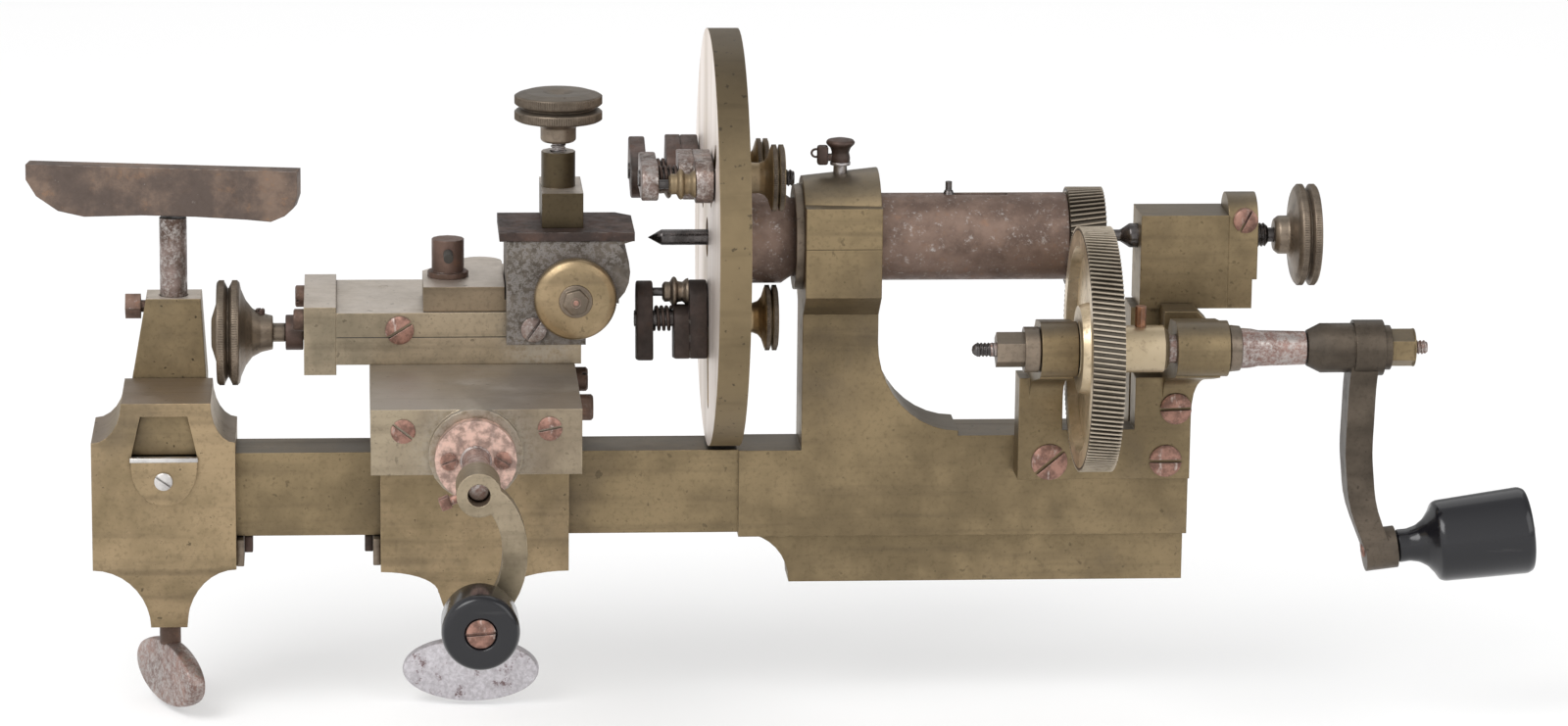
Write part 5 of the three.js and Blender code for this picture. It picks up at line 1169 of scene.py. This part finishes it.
class MANDREL_OT_crank(bpy.types.Operator):
    """The crank shaft, its collar and threads, the long black handle and its rivets"""

    bl_idname = "mandrel.crank"
    bl_label = "Crank"

    def execute(self, context):
        pitch = context.scene.mandrel.thread_pitch / MM
        y, z = CRANK
        at = (0, y, z)
        shaft = join(
            turned_piece(
                [
                    (-3.0, 0), (-3.0, 1.7), (9.3, 1.7), (9.3, 3.5), (59.7, 3.5), (59.7, 5.1), (62.6, 4.9),
                    (64.4, 4.5), (76.3, 4.2), (76.3, 3.0), (97.4, 3.0), (97.4, 1.7), (100.0, 1.7),
                    (100.0, 0),
                ], X_AXIS, at, 64
            ),
            thread_on(axis_frame(X_AXIS, at), 98.0, 9.1, 1.8, pitch),
        )
        stub = join(
            turned_piece([(-7.5, 0), (-7.3, 0.9), (-6.6, 1.5), (-5.8, 1.7), (-5.8, 0)], X_AXIS, at, 32, 0.2),
            thread_on(axis_frame(X_AXIS, at), -6.2, 5.3, 1.8, pitch),
        )
        keep("crank_stub", stub, "dark_steel", "crank")
        keep("crank_shaft_dressed", shaft, "shank", "crank", ["crank_shaft"])
        collar = turned_piece(
            [(56.9, 3.5), (56.9, 5.9), (59.8, 5.6), (59.8, 3.5), (56.9, 3.5)], X_AXIS, at, 64, 0.3
        )
        keep("crank_collar", collar, "bronze", "crank")
        low = Vector((CRANK_EYE_X, y, z - CRANK_THROW)) * MM
        turn = Matrix.Rotation(-math.radians(CRANK_TILT), 4, "Y")
        tilt = Matrix.Translation(low) @ turn @ axis_frame(X_AXIS, (-CRANK_EYE_X, 0, 0))
        handle = turned_on(
            [
                (101.4, 2.1), (101.4, 4.2), (104.2, 4.1), (106.6, 4.7), (108.6, 6.0), (110.2, 8.0),
                (111.2, 9.8), (112.4, 10.3), (124.0, 10.7), (133.4, 11.0), (134.8, 10.4), (135.2, 9.0),
                (135.2, 2.2), (133.6, 2.1), (101.4, 2.1),
            ], tilt, 96, 0.5
        )
        keep("crank_handle_dressed", handle, "black", "crank_handle", ["crank_handle"])
        rivet = turned_on([(133.8, 0), (133.8, 2.8), (135.6, 2.8), (136.4, 2.0), (136.8, 0)], tilt, 32, 0.3)
        keep("crank_handle_rivet", rivet, "copper", "crank_handle")
        eye_rivet = turned_on([(92.0, 0), (92.3, 1.6), (93.2, 1.9), (93.2, 0)], tilt, 24, 0.2)
        keep("crank_eye_rivet", eye_rivet, "copper", "crank")
        return {"FINISHED"}


class MANDREL_OT_cross_handle(bpy.types.Operator):
    """The small crank's screw, its black handle and its set screw"""

    bl_idname = "mandrel.cross_handle"
    bl_label = "Cross handle"

    def execute(self, context):
        x, z = CROSS
        screw = turned_piece(
            [
                (22.0, 0), (22.0, 2.6), (62.3, 2.6), (62.3, 4.5), (64.3, 4.5), (64.3, 3.9), (66.2, 3.9),
                (66.2, 3.4), (88.0, 3.3), (88.0, 2.6), (95.0, 2.6), (95.0, 0),
            ], -Y_AXIS, (x, 0, z), 48
        )
        keep("cross_screw_dressed", screw, "shank", "cross_crank", ["cross_screw"])
        way = Vector((-0.93, 0, -0.36))
        base = Vector((x, -94.5, z))
        thin = turned_piece([(4.6, 0), (4.6, 1.1), (7.4, 1.1), (7.4, 0)], way, base, 24, 0.1)
        square = [(1.5, -1.5), (1.5, 1.5), (-1.5, 1.5), (-1.5, -1.5)]
        head = slab(square, 7.2, 9.8, axis_frame(way, base), 0.3)
        keep("cross_set_screw", join(thin, head), "copper", "cross_crank")
        handle = turned_piece(
            [
                (103.2, 2.0), (103.2, 6.4), (104.4, 6.9), (106.2, 9.2), (117.6, 9.3), (119.0, 8.6),
                (119.4, 7.6), (119.4, 3.9), (118.4, 3.7), (118.4, 2.0), (103.2, 2.0),
            ], -Y_AXIS, (x, 0, z - CROSS_THROW), 96, 0.8
        )
        keep("cross_handle_dressed", handle, "black", "cross_handle", ["cross_handle"])
        return {"FINISHED"}


class MANDREL_OT_thumb_screws(bpy.types.Operator):
    """The thumb screws under the two saddles"""

    bl_idname = "mandrel.thumb_screws"
    bl_label = "Thumb screws"

    def execute(self, context):
        rows = [
            ("rest_thumb_screw", REST_X, -10.4, -65.0, "shank"),
            ("slide_thumb_screw", CROSS[0], -13.2, -4.0, "mottled")
        ]
        for node, x, nose, turn, finish in rows:
            stem = turned_piece(
                [(-16.5, 0), (-16.5, 2.7), (nose - 0.4, 2.7), (nose - 0.2, 2.5), (13.3, 2.5), (13.3, 0)],
                Z_AXIS, (x, 0, 0), 48
            )
            swung = Matrix.Rotation(math.radians(turn), 4, "Z")
            place = Matrix.Translation(Vector((x, 0, THUMB_PLATE_Z)) * MM) @ swung
            keep(node + "_dressed", oval_plate(place), finish, node, [node])
            keep(node + "_stem", stem, "rust", node)
        return {"FINISHED"}


def oval_plate(place):
    """A flat oval with a rounded rim, standing in local X and Z."""
    half_long, half_high, half_thick, around = 17.5, 8.3, 2.25, 72
    work = bmesh.new()
    rows = []
    half = [(0.0, 1.0), (0.9, 1.0), (0.96, 0.9), (0.99, 0.6), (1.0, 0.2)]
    for share, out in half + [(share, -out) for share, out in reversed(half)]:
        inset = (1 - share) * half_high
        ring = []
        for turn in turns(around if share else 1):
            spot = Vector((
                (half_long - inset) * math.cos(turn), -out * half_thick, (half_high - inset) * math.sin(turn)
            ))
            ring.append(work.verts.new(place @ ((spot if share else Vector((0, -out * half_thick, 0))) * MM)))
        rows.append(ring)
    skin(work, list(zip(rows, rows[1:])), around)
    return mesh_of(work)


class MANDREL_OT_oiler(bpy.types.Operator):
    """The oil cup on the bearing"""

    bl_idname = "mandrel.oiler"
    bl_label = "Oiler"

    def execute(self, context):
        at = (OILER_X, 0, 0)
        stem = turned_piece(
            [(105.2, 0), (105.2, 1.8), (107.6, 1.7), (107.6, 2.6), (108.4, 2.6), (108.4, 0)], Z_AXIS, at,
            40, 0.2
        )
        keep("oiler_stem", stem, "steel", "frame")
        cup = turned_piece(
            [
                (108.3, 0), (108.3, 2.4), (109.4, 2.5), (110.8, 2.2), (112.0, 2.6), (112.9, 3.5),
                (113.4, 3.7), (114.0, 3.3), (114.4, 1.6), (114.4, 0),
            ], Z_AXIS, at, 40, 0.2
        )
        lid = block(-43.7, -40.9, -1.2, 1.2, 107.6, 112.6, 0.6)
        arm = block(-41.2, -39.4, -0.8, 0.8, 108.6, 110.4, 0.3)
        around = [k * math.pi / 10 for k in range(20)]
        loop = tube([(-44.0 + 1.1 * math.cos(a), 0, 110.6 + 1.0 * math.sin(a)) for a in around], 0.3, 8, True)
        keep("oiler_dressed", join(cup, lid, arm, loop), "dark_rust", "frame", ["oiler"])
        return {"FINISHED"}


class MANDREL_OT_small_pieces(bpy.types.Operator):
    """Gib plates with their square heads, the sill, a near-black plug in the tommy hole and the joint line"""

    bl_idname = "mandrel.small_pieces"
    bl_label = "Small pieces"

    def execute(self, context):
        for name, face, way in (("rest_saddle", -190.8, 1), ("slide_saddle", -154.4, -1)):
            plate = block(face, face + way * 1.9, -11.0, 11.0, 6.5, 13.4, 0.25)
            head = block(face + way * 1.8, face + way * 4.0, -2.1, 2.1, 7.8, 12.0, 0.3)
            keep(name + "_gib", plate, "bronze", name)
            keep(name + "_gib_head", head, "dark_rust", name)
        keep(
            "stop_plate_sill", block(-217.2, -200.1, -15.9, -14.0, 34.9, 36.1, 0.2), "silver",
            "rest_saddle"
        )
        # A near-black plug set in the tommy hole.
        plug = turned_piece([(-3.2, 0), (-3.2, 1.2), (3.2, 1.2), (3.2, 0)], Y_AXIS, TOMMY_HOLE, 24, 0.1)
        keep("tommy_hole_dark_plug", plug, "line", "tool_slide")
        keep(
            "bar_joint", block(-165.2, -104.0, -11.03, -10.6, 65.72, 65.94, 0.0), "line", "cross_slide",
        )
        return {"FINISHED"}


class MANDREL_OT_screws(bpy.types.Operator):
    """The slotted screw heads and the three dots on the bearing"""

    bl_idname = "mandrel.screws"
    bl_label = "Screws"

    def execute(self, context):
        front, up, right, left = -Y_AXIS, Z_AXIS, X_AXIS, -X_AXIS
        under = Vector((0, -0.6, -0.8))
        screws(
            "frame_screws", "frame",
            [
                ((14.9, -18.9, 34.1), front, 4.6, 40), ((44.6, -18.9, 34.2), front, 4.1, 0),
                ((46.9, -18.9, 47.8), front, 4.0, 2), ((65.0, -8.4, 94.2), front, 3.1, 62),
            ]
        )
        screws("cap_screws", "frame", [
            ((-43.6, -15.2, 99.55), up, 1.9, 25), ((-32.0, -15.2, 99.55), up, 1.9, 70),
            ((-43.6, 15.2, 99.55), up, 1.9, 110), ((-32.0, 15.2, 99.55), up, 1.9, 15),
        ], "bed", 0.12)
        dots = [((x, -15.6, 75.7), under, 0.9, 20 * k) for k, x in enumerate((-44.0, -38.2, -33.0))]
        screws("bearing_dots", "frame", dots, "dark_steel", 0.12, 0.02)
        screws("rest_saddle_screws", "rest_saddle", [((-208.8, -16.5, 30.1), front, 2.3, -35)], "silver")
        screws("cross_slide_screws", "cross_slide", [
            ((-149.0, -60.6, 53.4), front, 3.0, -38), ((-113.2, -60.6, 53.9), front, 3.0, 12),
            ((-137.9, -66.4, 47.2), front, 2.2, 20), ((-124.8, -66.4, 47.4), front, 2.2, -30),
            ((-149.4, -11.8, 67.7), front, 3.6, 32),
        ])
        screws("bar_screws", "cross_slide", [((-153.3, 21.0, 72.15), up, 1.3, 20)], "slide", 0.1)
        screws("side_screws", "cross_slide", [
            ((-101.2, -24.0, 50.6), right, 3.3, 10), ((-101.3, 7.0, 50.6), right, 3.1, 50),
        ], "rust", 0.65)
        screws("end_screws", "cross_slide", [
            ((-176.0, -7.0, 69.6), left, 2.8, 20), ((-175.8, 21.0, 69.6), left, 2.8, 75),
        ], "rust", 0.45)
        screws("apron_screw", "tool_slide", [((-115.8, -15.9, 68.6), front, 3.2, 55)], "silver_rust")
        screws(
            "knob_screw", "feed_screw", [((-184.6, FEED[0], FEED[1] + 6.2), up, 1.2, 70)], "dark_rust", 0.8,
            0.4
        )
        at = (CROSS[0], -119.1, CROSS[1] - CROSS_THROW)
        screws("handle_screw", "cross_handle", [(at, front, 3.5, 5)], "copper", 0.25)
        return {"FINISHED"}


class MANDREL_PT_panel(bpy.types.Panel):
    """Lists the steps of the dressing"""

    bl_idname = "MANDREL_PT_panel"
    bl_label = "Mandrel"
    bl_space_type = "VIEW_3D"
    bl_region_type = "UI"
    bl_category = "Mandrel"

    def draw(self, context):
        for name in MandrelSettings.__annotations__:
            self.layout.prop(context.scene.mandrel, name)
        for operator in OPERATORS:
            self.layout.operator(operator.bl_idname)


OPERATORS = [
    MANDREL_OT_stage, MANDREL_OT_castings, MANDREL_OT_dogs, MANDREL_OT_knobs, MANDREL_OT_crank,
    MANDREL_OT_cross_handle, MANDREL_OT_thumb_screws, MANDREL_OT_oiler, MANDREL_OT_small_pieces,
    MANDREL_OT_screws,
]
CLASSES = [MandrelSettings, *OPERATORS, MANDREL_PT_panel]


def register():
    for made in CLASSES:
        bpy.utils.register_class(made)
    bpy.types.Scene.mandrel = bpy.props.PointerProperty(type=MandrelSettings)


def unregister():
    del bpy.types.Scene.mandrel
    for made in reversed(CLASSES):
        bpy.utils.unregister_class(made)


def main():
    register()
    make_finishes(bpy.context.scene.mandrel)
    bpy.ops.mandrel.stage()
    bpy.ops.mandrel.castings()
    bpy.ops.mandrel.dogs()
    bpy.ops.mandrel.knobs()
    bpy.ops.mandrel.crank()
    bpy.ops.mandrel.cross_handle()
    bpy.ops.mandrel.thumb_screws()
    bpy.ops.mandrel.oiler()
    bpy.ops.mandrel.small_pieces()
    bpy.ops.mandrel.screws()


if __name__ == "__main__":
    main()
